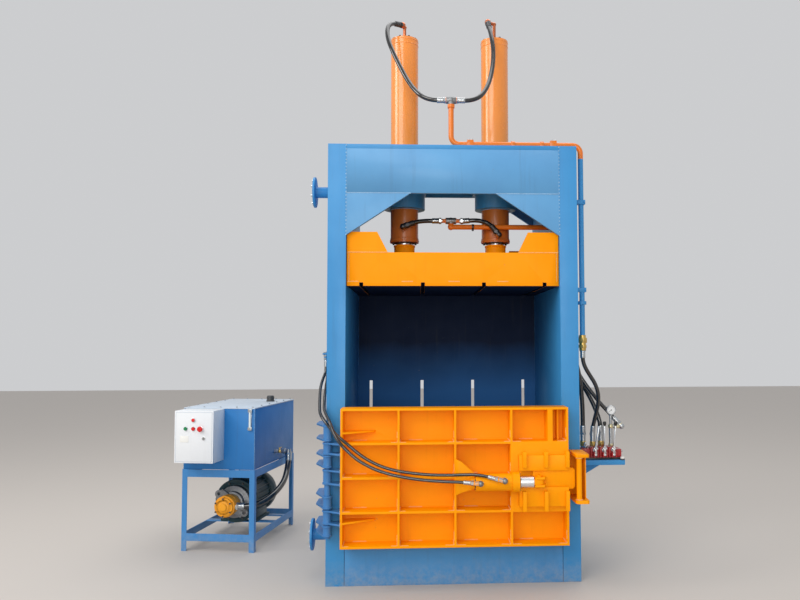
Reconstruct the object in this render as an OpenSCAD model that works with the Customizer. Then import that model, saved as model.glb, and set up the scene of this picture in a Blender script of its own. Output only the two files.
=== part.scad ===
// Vertical two-cylinder recycling baler with a swinging front door, a hydraulic door bolt
// and a free-standing hydraulic power unit. Millimetres, +Z up. The origin is on the floor,
// under the middle of the press. The door is on the -Y side.

/* [Press frame] */
// Width over the two side posts
frame_w = 1660; // [1500:10:1900]
// Depth over the side posts
frame_d = 1200; // [1150:10:1400]
// Height of the posts and the top beam
frame_h = 2880; // [2800:10:3100]
// Width of a side post
post_w = 120; // [100:5:150]
// Wall of the folded side posts
post_wall = 10; // [6:1:16]
// Height of the chamber floor
floor_z = 290; // [270:5:300]
// Depth of the front beam plate, measured down from the top
beam_h = 327; // [300:1:360]
// Thickness of the beam and gusset plates
beam_t = 25; // [15:1:30]
// Half the clear span between the two corner gussets
gusset_span = 284; // [260:2:320]
// Height of a corner gusset
gusset_h = 281; // [200:1:290]
// Height of the rear wall above the floor plate
rear_wall_h = 2000; // [1900:10:2040]
// Thickness of the rear wall plate
rear_t = 20; // [12:1:30]
// Distance of the outer strap slots from the side posts
slot_in = 99.5; // [90:0.5:130]
// Width of a strap slot
slot_w = 24; // [18:1:32]
// Height of the strap slots in the rear wall
rear_slot_h = 970; // [800:10:1100]

/* [Platen] */
// Height of the pressing face at rest
platen_z = 1937; // [1900:1:1960]
// Height of the platen box
platen_h = 224; // [200:1:240]
// Height of the guide ears above the box
ear_h = 136; // [100:1:140]
// Gap between the platen and the posts
platen_gap = 4; // [2:0.5:8]
// Distance of the platen behind the front of the posts
platen_set = 30; // [28:1:60]
// Thickness of the platen plates
platen_t = 20; // [12:1:25]

/* [Main cylinders] */
// Distance of each cylinder from the middle
cyl_x = 335; // [320:1:350]
// Outer diameter of the barrels
barrel_d = 202; // [190:1:215]
// Bore of the barrels
barrel_bore = 160; // [150:1:170]
// Top of the barrels
barrel_top = 3805; // [3790:5:3850]
// Bottom of the glands
gland_z = 2290; // [2280:5:2320]
// Diameter of the piston rods
rod_d = 120; // [110:1:130]
// Diameter of the rod bosses on the platen
boss_d = 150; // [140:1:160]
// Diameter of the collars under the crosshead
collar_d = 300; // [280:5:330]

/* [Door] */
// Overlap of the door on each side post
door_lap = 14.5; // [10:0.5:16]
// Lower edge of the door
door_z = 273; // [260:1:280]
// Height of the door
door_h = 872; // [860:1:890]
// Depth of the door ribs in front of the posts
door_d = 150; // [140:1:160]
// Thickness of the door skin
skin_t = 15; // [10:1:20]
// Thickness of the door ribs
rib_t = 14; // [10:1:18]
// Gap between the door and the posts
door_gap = 5; // [4:0.5:8]

/* [Hinge] */
// Diameter of the hinge pin
pin_d = 40; // [30:1:44]
// Outer diameter of the hinge knuckles
knuckle_d = 64; // [58:1:70]
// Running clearance between the pin and the knuckles
pin_clear = 0.05; // [0.02:0.01:0.1]
// Distance of the pin outside the door edge
pin_out = 89; // [85:1:95]
// Distance of the pin in front of the posts
pin_front = 62; // [55:1:68]

/* [Door bolt] */
// Height of the bolt's centre line
bolt_z = 701; // [695:1:705]
// Height of the bolt plate
bolt_h = 132; // [120:1:134]
// Thickness of the bolt plate
bolt_t = 30; // [25:1:32]
// Distance of the bolt plate's left end inside the door's edge
bolt_in = 236.5; // [230:0.5:243]
// Distance of the bolt's tip outside the door's edge at rest
bolt_out = 32.5; // [26:0.5:33.5]
// Diameter of the lock cylinder barrel
lock_d = 107; // [100:1:112]
// Diameter of the lock cylinder rod
lock_rod_d = 72; // [60:1:74]
// Length of the lock cylinder barrel with its gland
lock_l = 275; // [266:1:282]
// Distance of the lock cylinder's gland inside the door's edge
lock_in = 327.5; // [325:0.5:334]
// Distance of the lock cylinder's axis in front of the door ribs
lock_out = 64; // [62:1:70]
// Height of the lock cylinder's axis
lock_z = 688; // [684:1:692]
// Distance of the keeper bar inside the outer face of the post
keeper_in = 50; // [46:1:52]
// Diameter of the keeper bar
keeper_d = 34; // [28:1:36]

/* [Pipes] */
// Diameter of the steel pipes
pipe_d = 36; // [30:1:40]
// Bend radius of the steel pipes
pipe_bend = 55; // [50:1:70]
// Diameter of the main hoses
hose_d = 32; // [28:1:36]
// Diameter of the door hoses
door_hose_d = 20; // [16:1:22]

/* [Valve] */
// Width of one valve section
section_w = 64; // [56:1:70]
// Height of the valve block
valve_h = 84; // [70:1:100]
// Depth of the valve block
valve_d = 110; // [90:1:130]
// Length of a valve lever above its pivot
lever_l = 215; // [180:5:240]

/* [Power unit] */
// Width of the stand
unit_w = 568; // [540:2:620]
// Depth of the stand
unit_d = 894; // [860:2:960]
// Height of the stand and tank
unit_h = 1065; // [1040:5:1120]
// Width of a stand angle
angle_w = 40; // [35:1:50]
// Thickness of a stand angle
angle_t = 5; // [4:0.5:6]
// Lower edge of the oil tank
tank_z = 610; // [590:5:640]
// Diameter of the motor
motor_d = 336; // [300:2:344]
// Height of the motor's axis
motor_z = 307; // [304:1:320]
// Width of the control cabinet
cab_w = 298; // [280:2:320]
// Height of the control cabinet
cab_h = 380; // [360:2:400]
// Depth of the control cabinet behind its door
cab_d = 165; // [150:1:200]

/* [Hidden] */

$fn = 48;
front = -frame_d / 2;
half_w = frame_w / 2;
inner = half_w - post_w;
beam_z = frame_h - beam_h;
rear_in = frame_d - 82;
slot_pitch = 2 * (inner - slot_in) / 3;
slots = [for (i = [-1.5:1:1.5]) i * slot_pitch];
cyl_y = 550;
seat = 0.2;
run_clear = 0.05;
top_t = 30;
door_w = 2 * (inner + door_lap);
door_x0 = -door_w / 2;
door_x1 = door_w / 2;
door_front = -door_d;
door_back = -door_gap;
pin_x = door_x0 - pin_out;
pin_y = -pin_front;
door_top = door_z + door_h;
cell_x = [for (i = [0:4]) door_x0 + rib_t / 2 + i * (door_w - rib_t) / 4];
cell_z = [for (i = [0:4]) door_z + rib_t / 2 + i * (door_h - rib_t) / 4];
frame_knuckles = [[934, 1036], [766, 846], [508, 588], [334, 404]];
door_knuckles = [[850, 926], [662, 756], [412, 500]];
bolt_x0 = door_x1 - bolt_in;
bolt_x1 = door_x1 + bolt_out;
lock_x1 = door_x1 - lock_in;
lock_x0 = lock_x1 - lock_l;
keeper_x = half_w - keeper_in;
bolt_back = door_front - 1;
bolt_face = bolt_back - bolt_t;
keeper_y = bolt_face - 3 - keeper_d / 2;
lock_y = door_front - lock_out;
blue = [0.29, 0.56, 0.80];
orange = [1.0, 0.55, 0.02];
steel = [0.75, 0.76, 0.78];
black = [0.06, 0.06, 0.07];

// Everything on the press is drawn from the front of the posts, then centred on the frame.
module on_press() {
    translate([0, front, 0]) children();
}

// A box given by its two opposite corners
module block(a, b) {
    translate(a) cube(b - a);
}

module pipe_x(x0, x1, y, z, d) {
    translate([x0, y, z]) rotate([0, 90, 0]) cylinder(d = d, h = x1 - x0);
}

module pipe_y(x, y0, y1, z, d) {
    translate([x, y0, z]) rotate([-90, 0, 0]) cylinder(d = d, h = y1 - y0);
}

module pipe_z(x, y, z0, z1, d) {
    translate([x, y, z0]) cylinder(d = d, h = z1 - z0);
}

// A quarter bend from +X towards +Y about the origin
module bend(r, d) {
    rotate_extrude(angle = 90) translate([r, 0]) circle(d = d);
}

// Smooth curve through hand-chosen points
function curve_point(p, i, t) =
    let (n = len(p), a = p[max(i - 1, 0)], b = p[i], c = p[i + 1], d = p[min(i + 2, n - 1)])
    0.5 * (2 * b + (c - a) * t + (2 * a - 5 * b + 4 * c - d) * t * t
        + (3 * b - a - 3 * c + d) * t * t * t);
function curve(p, steps) =
    [for (i = [0:len(p) - 2], s = [0:steps - 1]) curve_point(p, i, s / steps), p[len(p) - 1]];
function unit(v) = v / norm(v);
function tangent(p, i) = unit(p[min(i + 1, len(p) - 1)] - p[max(i - 1, 0)]);
function flat(v, t) = unit(v - (v * t) * t);
function frames(p, i = 0, v = [0.3, 0.5, 0.81]) =
    i == len(p) ? [] : let (w = flat(v, tangent(p, i))) concat([w], frames(p, i + 1, w));

// A hose swept along a route
module hose(route, d, steps = 2, sides = 8) {
    p = curve(route, steps);
    up = frames(p);
    rings = [for (i = [0:len(p) - 1], k = [0:sides - 1])
        let (t = tangent(p, i), u = up[i], a = 360 * k / sides)
        p[i] + d / 2 * (cos(a) * u + sin(a) * cross(t, u))];
    last = len(p) - 1;
    walls = [for (i = [0:last - 1], k = [0:sides - 1])
        let (a = i * sides + k, b = i * sides + (k + 1) % sides)
        [a, a + sides, b + sides, b]];
    ends = [[for (k = [0:sides - 1]) k], [for (k = [sides - 1:-1:0]) last * sides + k]];
    polyhedron(rings, concat(walls, ends), convexity = 6);
}

// A round bar from one point to another
module bar(a, b, d) {
    v = b - a;
    translate(a) rotate([0, acos(v.z / norm(v)), atan2(v.y, v.x)]) cylinder(d = d, h = norm(v));
}

// The point a fitting's length past the last point of a route
function past_end(route, l) =
    let (p = curve(route, 2)) p[len(p) - 1] + l * tangent(p, len(p) - 1);

// The crimped end of a hose, with the elbow that it screws into
module hose_end(route, d, l) {
    bar(route[len(route) - 1], past_end(route, l), d);
    translate(past_end(route, l)) sphere(d = d + 6);
}

// A route whose first and last points are at the given x, with those between spread evenly
function between(x0, x1, points) =
    let (a = points[0].x, b = points[len(points) - 1].x)
    [for (p = points) [x0 + (x1 - x0) * (p.x - a) / (b - a), p.y, p.z]];

// A route given by its distances from the outer face of the right post
function beside(points) = [for (p = points) [half_w + p.x, p.y, p.z]];

// Routes of the hoses, from the front of the posts
top_left_route = [[-60, 100, 3214], [-98, 100, 3214], [-138, 103, 3218], [-178, 113, 3231],
    [-216, 131, 3256], [-250, 157, 3294], [-284, 190, 3346], [-322, 227, 3418],
    [-369, 261, 3518], [-412, 293, 3620], [-442, 325, 3705], [-455, 360, 3780],
    [-452, 400, 3843], [-433, 440, 3884], [-404, 476, 3904], [-372, 506, 3910]];
top_right_route = [[40, 100, 3214], [78, 100, 3214], [118, 103, 3218], [158, 113, 3232],
    [194, 132, 3258], [224, 160, 3298], [250, 196, 3352], [272, 238, 3418], [291, 282, 3500],
    [304, 326, 3592], [308, 370, 3692], [301, 413, 3790], [291, 453, 3866], [286, 492, 3918]];
inner_left_route = [[-88, 415, 2434], [-130, 415, 2434], [-176, 412, 2433], [-222, 406, 2428],
    [-266, 398, 2418], [-306, 390, 2402]];
inner_right_route = [[88, 415, 2434], [130, 415, 2437], [174, 410, 2438], [216, 400, 2432],
    [256, 382, 2416], [290, 374, 2392], [316, 368, 2360]];
door_upper_route = between(-half_w - 44, lock_x1 - 157, [[-874, 330, 1440], [-874, 330, 1420],
    [-874, 330, 1400], [-875, 328, 1380], [-877, 322, 1361], [-880, 313, 1343],
    [-885, 299, 1327], [-889, 274, 1309], [-892, 232, 1284], [-892, 172, 1248],
    [-886, 100, 1202], [-878, 30, 1152], [-862, -42, 1102], [-812, -110, 1046],
    [-750, -156, 986], [-674, -180, 926], [-608, -188, 872], [-538, -192, 826],
    [-450, -195, 786], [-340, -199, 758], [-179, -206, 739], [-40, -218, 736], [50, -234, 740],
    [120, -254, 742], [184, -271, 735], [240, -284, 722]]);
door_lower_route = between(-half_w - 36, lock_x0 - 32, [[-866, 360, 1440], [-866, 360, 1420],
    [-866, 360, 1400], [-866, 358, 1376], [-866, 352, 1353], [-866, 341, 1331],
    [-866, 325, 1312], [-865, 302, 1296], [-864, 258, 1274], [-860, 200, 1248],
    [-857, 134, 1214], [-850, 58, 1171], [-836, -40, 1126], [-794, -142, 1066],
    [-760, -191, 998], [-720, -214, 940], [-666, -227, 886], [-610, -234, 840],
    [-550, -237, 804], [-480, -239, 772], [-370, -241, 740], [-226, -243, 715],
    [-86, -248, 703], [0, -256, 700], [48, -263, 698], [90, -270, 695]]);
valve_front_route = beside([[48, 100, 1500], [48, 100, 1476], [49, 101, 1450], [54, 104, 1422],
    [66, 110, 1392], [84, 120, 1362], [108, 136, 1328], [136, 158, 1290], [162, 188, 1244],
    [180, 224, 1192], [188, 264, 1136], [186, 302, 1078], [178, 330, 1020], [169, 346, 965],
    [166, 350, 925]]);
valve_middle_route = beside([[48, 330, 1500], [48, 331, 1470], [52, 336, 1420],
    [70, 346, 1350], [85, 356, 1270], [94, 364, 1190], [100, 370, 1110], [102, 372, 1030],
    [102, 372, 970], [102, 372, 925]]);
valve_rear_route = beside([[48, 500, 1500], [48, 500, 1472], [54, 494, 1412], [82, 478, 1332],
    [124, 454, 1250], [165, 427, 1170], [198, 401, 1090], [220, 381, 1015], [229, 373, 965],
    [230, 372, 925]]);
valve_return_route = beside([[48, 415, 1500], [49, 414, 1470], [58, 410, 1410],
    [88, 402, 1330], [134, 392, 1255], [182, 385, 1190], [230, 382, 1128], [278, 374, 1074],
    [320, 362, 1026], [346, 352, 996]]);
suction_route = [[62, 600, 640], [62, 599, 598], [62, 586, 556], [64, 558, 516],
    [68, 514, 478], [70, 462, 446], [66, 404, 418], [56, 344, 392], [38, 286, 366],
    [12, 236, 344], [-24, 194, 325], [-70, 164, 312], [-124, 153, 308], [-172, 152, 307]];

// Press frame

module base_frame() on_press() color(blue) difference() {
    union() {
        block([-inner, 0, 0], [inner, frame_d, 12]);
        block([-inner, 0, 12], [inner, beam_t, floor_z]);
        block([-inner, frame_d - beam_t, 12], [inner, frame_d, floor_z - 30]);
        block([-inner, beam_t, floor_z - 40], [inner, frame_d, floor_z]);
        for (x = slots)
            block([x - 60, beam_t, 12], [x - 45, frame_d - beam_t, floor_z - 40]);
        for (y = [1, 2])
            block([-inner, y * frame_d / 3, 12], [inner, y * frame_d / 3 + 15, floor_z - 40]);
    }
    for (x = slots)
        block([x - slot_w / 2, -1, floor_z - 25], [x + slot_w / 2, frame_d + 1, floor_z + 1]);
}

module side_wall() difference() {
    block([inner, 0, 0], [half_w, frame_d, frame_h]);
    block([inner + post_wall, post_wall, post_wall],
        [half_w - post_wall, frame_d - post_wall, frame_h - post_wall]);
}

module side_wall_right() on_press() color(blue) side_wall();

// The left post also carries the bulkhead of the two door hoses.
module side_wall_left() on_press() color(blue) {
    mirror([1, 0, 0]) side_wall();
    block([-half_w - 66, 310, 1480], [-half_w, 390, 1490]);
    for (route = [door_upper_route, door_lower_route])
        pipe_z(route[0].x, route[0].y, route[0].z + 0.6, 1481, 28);
}

module rear_wall() on_press() color(blue) difference() {
    union() {
        block([-inner, rear_in, floor_z], [inner, rear_in + rear_t, floor_z + rear_wall_h]);
        for (z = [floor_z + rear_slot_h + 20, floor_z + rear_wall_h - 60])
            block([-inner, rear_in + rear_t, z], [inner, frame_d, z + 15]);
        for (i = [-2:2])
            block([i * slot_pitch * 0.72 - 6, rear_in + rear_t, floor_z],
                [i * slot_pitch * 0.72 + 6, frame_d - 10, floor_z + rear_wall_h - 60]);
    }
    for (x = slots)
        block([x - slot_w / 2, rear_in - 1, floor_z - 1],
            [x + slot_w / 2, frame_d + 1, floor_z + rear_slot_h]);
}

module top_beam() on_press() color(blue) {
    block([-inner, 0, beam_z], [inner, beam_t, frame_h - top_t]);
    block([-inner, frame_d - beam_t, frame_h - 90], [inner, frame_d, frame_h - top_t]);
}

module gusset(y, z) {
    translate([0, y + beam_t, 0]) rotate([90, 0, 0]) linear_extrude(beam_t)
        polygon([[gusset_span, z], [inner, z], [inner, z - gusset_h]]);
}

module corner_gussets() on_press() color(blue)
    for (side = [0, 1]) mirror([side, 0, 0]) {
        gusset(0, beam_z);
        gusset(frame_d - beam_t, frame_h - 90);
    }

module crosshead() on_press() color(blue) difference() {
    union() {
        block([-inner, 0, frame_h - top_t], [inner, frame_d, frame_h]);
        for (y = [cyl_y - 190, cyl_y + 170])
            block([-inner, y, beam_z + 110], [inner, y + 20, frame_h - top_t]);
        for (s = [-1, 1]) {
            pipe_z(s * cyl_x, cyl_y, beam_z - 20, beam_z + 110, collar_d);
            block([s * cyl_x - 160, cyl_y - 190, beam_z + 110],
                [s * cyl_x + 160, cyl_y + 190, beam_z + 135]);
        }
    }
    for (s = [-1, 1])
        pipe_z(s * cyl_x, cyl_y, beam_z - 30, frame_h + 1, barrel_d + 2 * seat);
}

module side_stubs() on_press() color(blue)
    for (z = [260, frame_h - 270])
        mirror([1, 0, 0]) {
            pipe_x(half_w, half_w + 116, 300, z, 76);
            pipe_x(half_w + 116, half_w + 130, 300, z, 212);
        }

module frame_lug(z0, z1) {
    t = 12;
    for (z = [z0, z1 - t])
        difference() {
            translate([0, 0, z]) linear_extrude(t) {
                polygon([[-half_w, 230], [-half_w - 70, 200], [-half_w - 70, 60],
                    [pin_x - knuckle_d / 2, pin_y], [pin_x, pin_y - 12], [pin_x + 12, 0],
                    [-half_w, 0]]);
                translate([pin_x, pin_y]) circle(d = knuckle_d);
            }
            pipe_z(pin_x, pin_y, z - 1, z + t + 1, pin_d + 2 * pin_clear);
        }
    difference() {
        pipe_z(pin_x, pin_y, z0 + t, z1 - t, knuckle_d - 10);
        pipe_z(pin_x, pin_y, z0, z1, pin_d + 2 * pin_clear);
    }
}

module frame_hinge_lugs() on_press() color(blue)
    for (k = frame_knuckles) frame_lug(k[0], k[1]);

module hinge_pin() on_press() color(steel) {
    pin_top = frame_knuckles[0][1] + 12;
    pipe_z(pin_x, pin_y, frame_knuckles[3][0] - 14, pin_top, pin_d);
    pipe_z(pin_x, pin_y, pin_top - 11.7, pin_top, pin_d + 14);
}

module bolt_keeper() on_press() color(orange) {
    y0 = keeper_y - keeper_d / 2 - 8;
    for (z = [bolt_z - bolt_h / 2 - 88, bolt_z + bolt_h / 2 + 68])
        translate([0, 0, z]) linear_extrude(20)
            polygon([[keeper_x - 30, 0], [keeper_x - 24, y0 + 14], [keeper_x - 14, y0],
                [half_w, y0], [half_w + 12, y0 + 12], [half_w + 12, 0]]);
    pipe_z(keeper_x, keeper_y, bolt_z - bolt_h / 2 - 68, bolt_z + bolt_h / 2 + 68, keeper_d);
}

// Main cylinders

module cylinder_barrel(s) difference() {
    union() {
        pipe_z(s * cyl_x, cyl_y, gland_z + 20, barrel_top, barrel_d);
        pipe_z(s * cyl_x, cyl_y, gland_z, gland_z + 24, barrel_d + 8);
        pipe_z(s * cyl_x, cyl_y, frame_h + seat, frame_h + 30, barrel_d + 50);
        pipe_z(s * cyl_x, cyl_y, barrel_top, barrel_top + 20, 46);
        children();
    }
    pipe_z(s * cyl_x, cyl_y, gland_z + 90, barrel_top - 25, barrel_bore);
    pipe_z(s * cyl_x, cyl_y, gland_z - 1, gland_z + 91, rod_d + 2 * run_clear);
}

// The pipe from a hose's end to the port in the middle of the barrel's cap
module cap_port(route, s, rise) {
    knee = [s * cyl_x, cyl_y, barrel_top + rise];
    hose_end(route, hose_d + 4, 30);
    bar(past_end(route, 30), knee, hose_d - 10);
    translate(knee) sphere(d = hose_d - 5);
    pipe_z(s * cyl_x, cyl_y, barrel_top, barrel_top + rise, hose_d - 10);
}

// The stub from a hose's end to the port in the barrel's side
module side_port(route) {
    e = past_end(route, 40);
    hose_end(route, hose_d + 4, 40);
    pipe_y(e.x, e.y, cyl_y - barrel_d / 2 + 12, e.z, hose_d);
}

module cylinder_barrel_left() on_press() color([0.97, 0.56, 0.27]) cylinder_barrel(-1) {
    cap_port(top_left_route, -1, 102);
    side_port(inner_left_route);
}

module cylinder_barrel_right() on_press() color([0.97, 0.56, 0.27]) cylinder_barrel(1) {
    cap_port(top_right_route, 1, 138);
    side_port(inner_right_route);
}

module piston_rods() on_press() color(steel)
    for (s = [-1, 1]) {
        pipe_z(s * cyl_x, cyl_y, platen_z + platen_h + 110, barrel_top - 95, rod_d);
        pipe_z(s * cyl_x, cyl_y, barrel_top - 95, barrel_top - 30, barrel_bore - 0.2);
    }

// Platen

module platen() on_press() color(orange) {
    x1 = inner - platen_gap;
    y0 = platen_set;
    y1 = rear_in - platen_set;
    ear_top = platen_z + platen_h + ear_h;
    difference() {
        union() {
            block([-x1, y0, platen_z], [x1, y1, platen_z + 30]);
            block([-x1, y0 + platen_t, platen_z + platen_h - platen_t],
                [x1, y1 - platen_t, platen_z + platen_h]);
            for (y = [y0, y1 - platen_t])
                translate([0, y + platen_t, 0]) rotate([90, 0, 0]) linear_extrude(platen_t)
                    polygon([[-x1, platen_z + 30], [x1, platen_z + 30], [x1, ear_top],
                        [x1 - 204, ear_top], [x1 - 270, platen_z + platen_h],
                        [270 - x1, platen_z + platen_h], [200 - x1, ear_top], [-x1, ear_top]]);
            for (s = [-1, 1]) {
                block([min(s * x1, s * (x1 - platen_t)), y0 + platen_t, platen_z + 30],
                    [max(s * x1, s * (x1 - platen_t)), y1 - platen_t, ear_top]);
                block([s * cyl_x - 8, y0 + platen_t, platen_z + 30],
                    [s * cyl_x + 8, y1 - platen_t, platen_z + platen_h - platen_t]);
                pipe_z(s * cyl_x, cyl_y, platen_z + platen_h, platen_z + platen_h + 110,
                    boss_d);
            }
        }
        for (x = slots)
            block([x - 13, y0 - 1, platen_z - 1], [x + 13, y1 + 1, platen_z + 23]);
    }
}

// Door

module door_panel() on_press() color(orange) {
    block([door_x0, door_back - skin_t, door_z], [door_x1, door_back, door_top]);
    difference() {
        union() {
            for (x = cell_x)
                block([x - rib_t / 2, door_front, door_z],
                    [x + rib_t / 2, door_back - skin_t, door_top]);
            for (z = cell_z)
                block([door_x0, door_front, z - rib_t / 2],
                    [door_x1, door_back - skin_t, z + rib_t / 2]);
            block([door_x1 - 132.5, door_front, cell_z[3]],
                [door_x1 - 100.5, door_back - skin_t, door_top]);
            block([door_x1 - 62.5, door_front + 60, cell_z[3]],
                [door_x1 - 52.5, door_back - skin_t, door_top]);
        }
        block([cell_x[3] + rib_t / 2, door_front - 1, cell_z[1] + rib_t / 2],
            [cell_x[4] - rib_t / 2, door_front + 12, cell_z[3] - rib_t / 2]);
    }
    block([cell_x[3] + rib_t / 2, door_front, cell_z[1] + rib_t / 2],
        [cell_x[4] - rib_t / 2, door_front + 12, cell_z[3] - rib_t / 2]);
    for (z = [door_z + 150, door_top - 160])
        translate([0, 0, z]) linear_extrude(12)
            polygon([[door_x0 + rib_t, door_front], [door_x0 + rib_t, door_back - skin_t],
                [door_x0 + 215, door_back - skin_t], [door_x0 + 205, door_back - skin_t - 20]]);
    translate([0, door_front, 0]) rotate([90, 0, 0]) linear_extrude(20)
        polygon([[cell_x[2], lock_z - 88], [cell_x[2] + 40, lock_z - 70], [lock_x0, lock_z - 48],
            [lock_x0, lock_z + 48], [cell_x[2] + 40, lock_z + 120], [cell_x[2], lock_z + 140]]);
    block([lock_x0 - 30, lock_y - 30, lock_z - 30], [lock_x0, door_front - 20, lock_z + 30]);
}

module door_lug(z0, z1) {
    t = 12;
    for (z = [z0, z1 - t])
        difference() {
            translate([0, 0, z]) linear_extrude(t) {
                polygon([[door_x0, door_front + 6], [door_x0, door_back - skin_t - 3],
                    [pin_x + 22, pin_y + 18], [pin_x, pin_y], [pin_x + 4, pin_y - 30]]);
                translate([pin_x, pin_y]) circle(d = knuckle_d);
            }
            pipe_z(pin_x, pin_y, z - 1, z + t + 1, pin_d + 2 * pin_clear);
        }
    difference() {
        pipe_z(pin_x, pin_y, z0 + t, z1 - t, knuckle_d - 10);
        pipe_z(pin_x, pin_y, z0, z1, pin_d + 2 * pin_clear);
    }
}

module door_hinge_lugs() on_press() color(blue)
    for (k = door_knuckles) door_lug(k[0], k[1]);

// Each guide is a spacer strip, a retaining strip over the bolt's edge and three lugs.
module bolt_guide(z0, z1, lip) {
    x1 = door_x1 - 8.5;
    block([lock_x1 + 4, bolt_face - 1, z0], [x1, door_front, z1]);
    block([lock_x1 + 4, bolt_face - 13, min(z0, z0 + lip)], [x1, bolt_face - 1, max(z1, z1 + lip)]);
    for (x = [x1 - 296, x1 - 160, x1 - 24])
        block([x, bolt_face - 42, z0 + 6], [x + 24, bolt_face - 13, z1 + 26]);
}

module bolt_guides() on_press() color(orange) {
    top = bolt_z + bolt_h / 2 + 1.5;
    low = bolt_z - bolt_h / 2 - 1.5;
    bolt_guide(top, top + 80, -16);
    mirror_z(low) bolt_guide(low, low + 104, -16);
}

module mirror_z(z) {
    translate([0, 0, z]) mirror([0, 0, 1]) translate([0, 0, -z]) children();
}

module bolt_plate() on_press() color(orange) {
    difference() {
        block([bolt_x0, bolt_face, bolt_z - bolt_h / 2], [bolt_x1, bolt_back, bolt_z + bolt_h / 2]);
        translate([bolt_x1, bolt_back + 1, bolt_z]) rotate([90, 0, 0])
            linear_extrude(bolt_t + 2)
            for (s = [-1, 1]) polygon([[-14, s * (bolt_h / 2 + 1)], [1, s * (bolt_h / 2 + 1)],
                [1, s * (bolt_h / 2 - 14)]]);
    }
    difference() {
        for (z = [lock_z + 17, lock_z - 31])
            translate([0, 0, z]) linear_extrude(14)
                polygon([[bolt_x0 + 6, lock_y - 32], [bolt_x0 + 66, lock_y - 32],
                    [bolt_x0 + 84, bolt_face], [bolt_x0 + 6, bolt_face]]);
        pipe_z(bolt_x0 + 36, lock_y, lock_z - 40, lock_z + 40, 25);
    }
}

module clevis_pin() on_press() color(steel) {
    pipe_z(bolt_x0 + 36, lock_y, lock_z - 38, lock_z + 38, 24.9);
    pipe_z(bolt_x0 + 36, lock_y, lock_z + 31.3, lock_z + 40, 34);
}

module lock_barrel() on_press() color(orange) difference() {
    union() {
        pipe_x(lock_x0, lock_x1 - 40, lock_y, lock_z, lock_d);
        pipe_x(lock_x1 - 47, lock_x1, lock_y, lock_z, lock_d + 16);
        for (route = [door_upper_route, door_lower_route]) {
            e = past_end(route, 62);
            hose_end(route, door_hose_d + 6, 62);
            pipe_y(e.x, e.y, lock_y - lock_d / 2 + 10, e.z, door_hose_d + 6);
        }
        block([cell_x[3] - rib_t / 2, lock_y, lock_z - 40], [cell_x[3] + rib_t / 2, door_front,
            lock_z + 40]);
    }
    pipe_x(lock_x0 + 20, lock_x1 - 46, lock_y, lock_z, 84);
    pipe_x(lock_x1 - 47, lock_x1 + 1, lock_y, lock_z, lock_rod_d + 2 * run_clear);
}

module lock_rod() on_press() color(steel) difference() {
    union() {
        pipe_x(lock_x0 + 110, bolt_x0 - 1, lock_y, lock_z, lock_rod_d);
        pipe_x(lock_x0 + 80, lock_x0 + 110, lock_y, lock_z, 83.8);
        block([bolt_x0 - 4, lock_y - 28, lock_z - 16.5], [bolt_x0 + 40, lock_y + 28, lock_z + 16.5]);
        pipe_z(bolt_x0 + 36, lock_y, lock_z - 16.5, lock_z + 16.5, 56);
    }
    pipe_z(bolt_x0 + 36, lock_y, lock_z - 40, lock_z + 40, 25);
}

// Pipework

pipe_z0 = frame_h + pipe_d / 2 + 12;
pipe_x1 = half_w + 48;
tee_z = 3214;
inner_tee_z = 2434;

module top_pipe() on_press() color([0.95, 0.50, 0.10]) {
    pipe_z(-10, 100, pipe_z0 + pipe_bend, tee_z, pipe_d);
    pipe_x(-48, 28, 100, tee_z, pipe_d + 8);
    pipe_x(-60, 40, 100, tee_z, pipe_d - 4);
    translate([-10 + pipe_bend, 100, pipe_z0 + pipe_bend]) rotate([90, 0, 0]) rotate([0, 0, 180])
        bend(pipe_bend, pipe_d);
    pipe_x(-10 + pipe_bend, pipe_x1 - pipe_bend, 100, pipe_z0, pipe_d);
    translate([pipe_x1 - pipe_bend, 100, pipe_z0 - pipe_bend]) rotate([90, 0, 0])
        bend(pipe_bend, pipe_d);
    pipe_z(pipe_x1, 100, pipe_z0 - pipe_bend - 40, pipe_z0 - pipe_bend, pipe_d);
}

module side_pipe() on_press() color(blue) {
    pipe_z(pipe_x1, 100, 1610, pipe_z0 - pipe_bend - 40, pipe_d);
    pipe_z(pipe_x1, 100, 1815, 1838, pipe_d + 22);
    pipe_z(pipe_x1, 100, 1500, 1610, pipe_d + 4);
    pipe_z(pipe_x1, 100, 1560, 1585, pipe_d + 14);
}

// The pipe from the lower tee leaves through the right side wall and runs down outside it.
module inner_pipe() on_press() color([0.95, 0.50, 0.10]) {
    run_y = 415;
    run_z = inner_tee_z - 44;
    r = pipe_x1 - half_w - 3;
    pipe_x(-40, 40, run_y, inner_tee_z, pipe_d + 6);
    pipe_x(-88, 88, run_y, inner_tee_z, hose_d - 4);
    pipe_z(0, run_y, run_z, inner_tee_z, pipe_d - 2);
    translate([0, run_y, run_z]) sphere(d = pipe_d + 6);
    pipe_x(0, inner, run_y, run_z, pipe_d);
    pipe_x(half_w, pipe_x1 - r, run_y, run_z, pipe_d);
    translate([pipe_x1 - r, run_y, run_z - r]) rotate([90, 0, 0]) bend(r, pipe_d);
    pipe_z(pipe_x1, run_y, 1600, run_z - r, pipe_d);
    for (y = [330, 415, 500]) pipe_z(pipe_x1, y, 1500, 1586, pipe_d + 4);
    for (y = [330, 415, 500]) pipe_z(pipe_x1, y, 1586, 1606, pipe_d + 14);
    pipe_z(pipe_x1, run_y, 1556, 1612, pipe_d + 14);
    block([half_w, 300, 1580], [pipe_x1 + 30, 532, 1592]);
    block([pipe_x1 - 12, 318, 1556], [pipe_x1 + 12, 512, 1582]);
}

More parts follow.
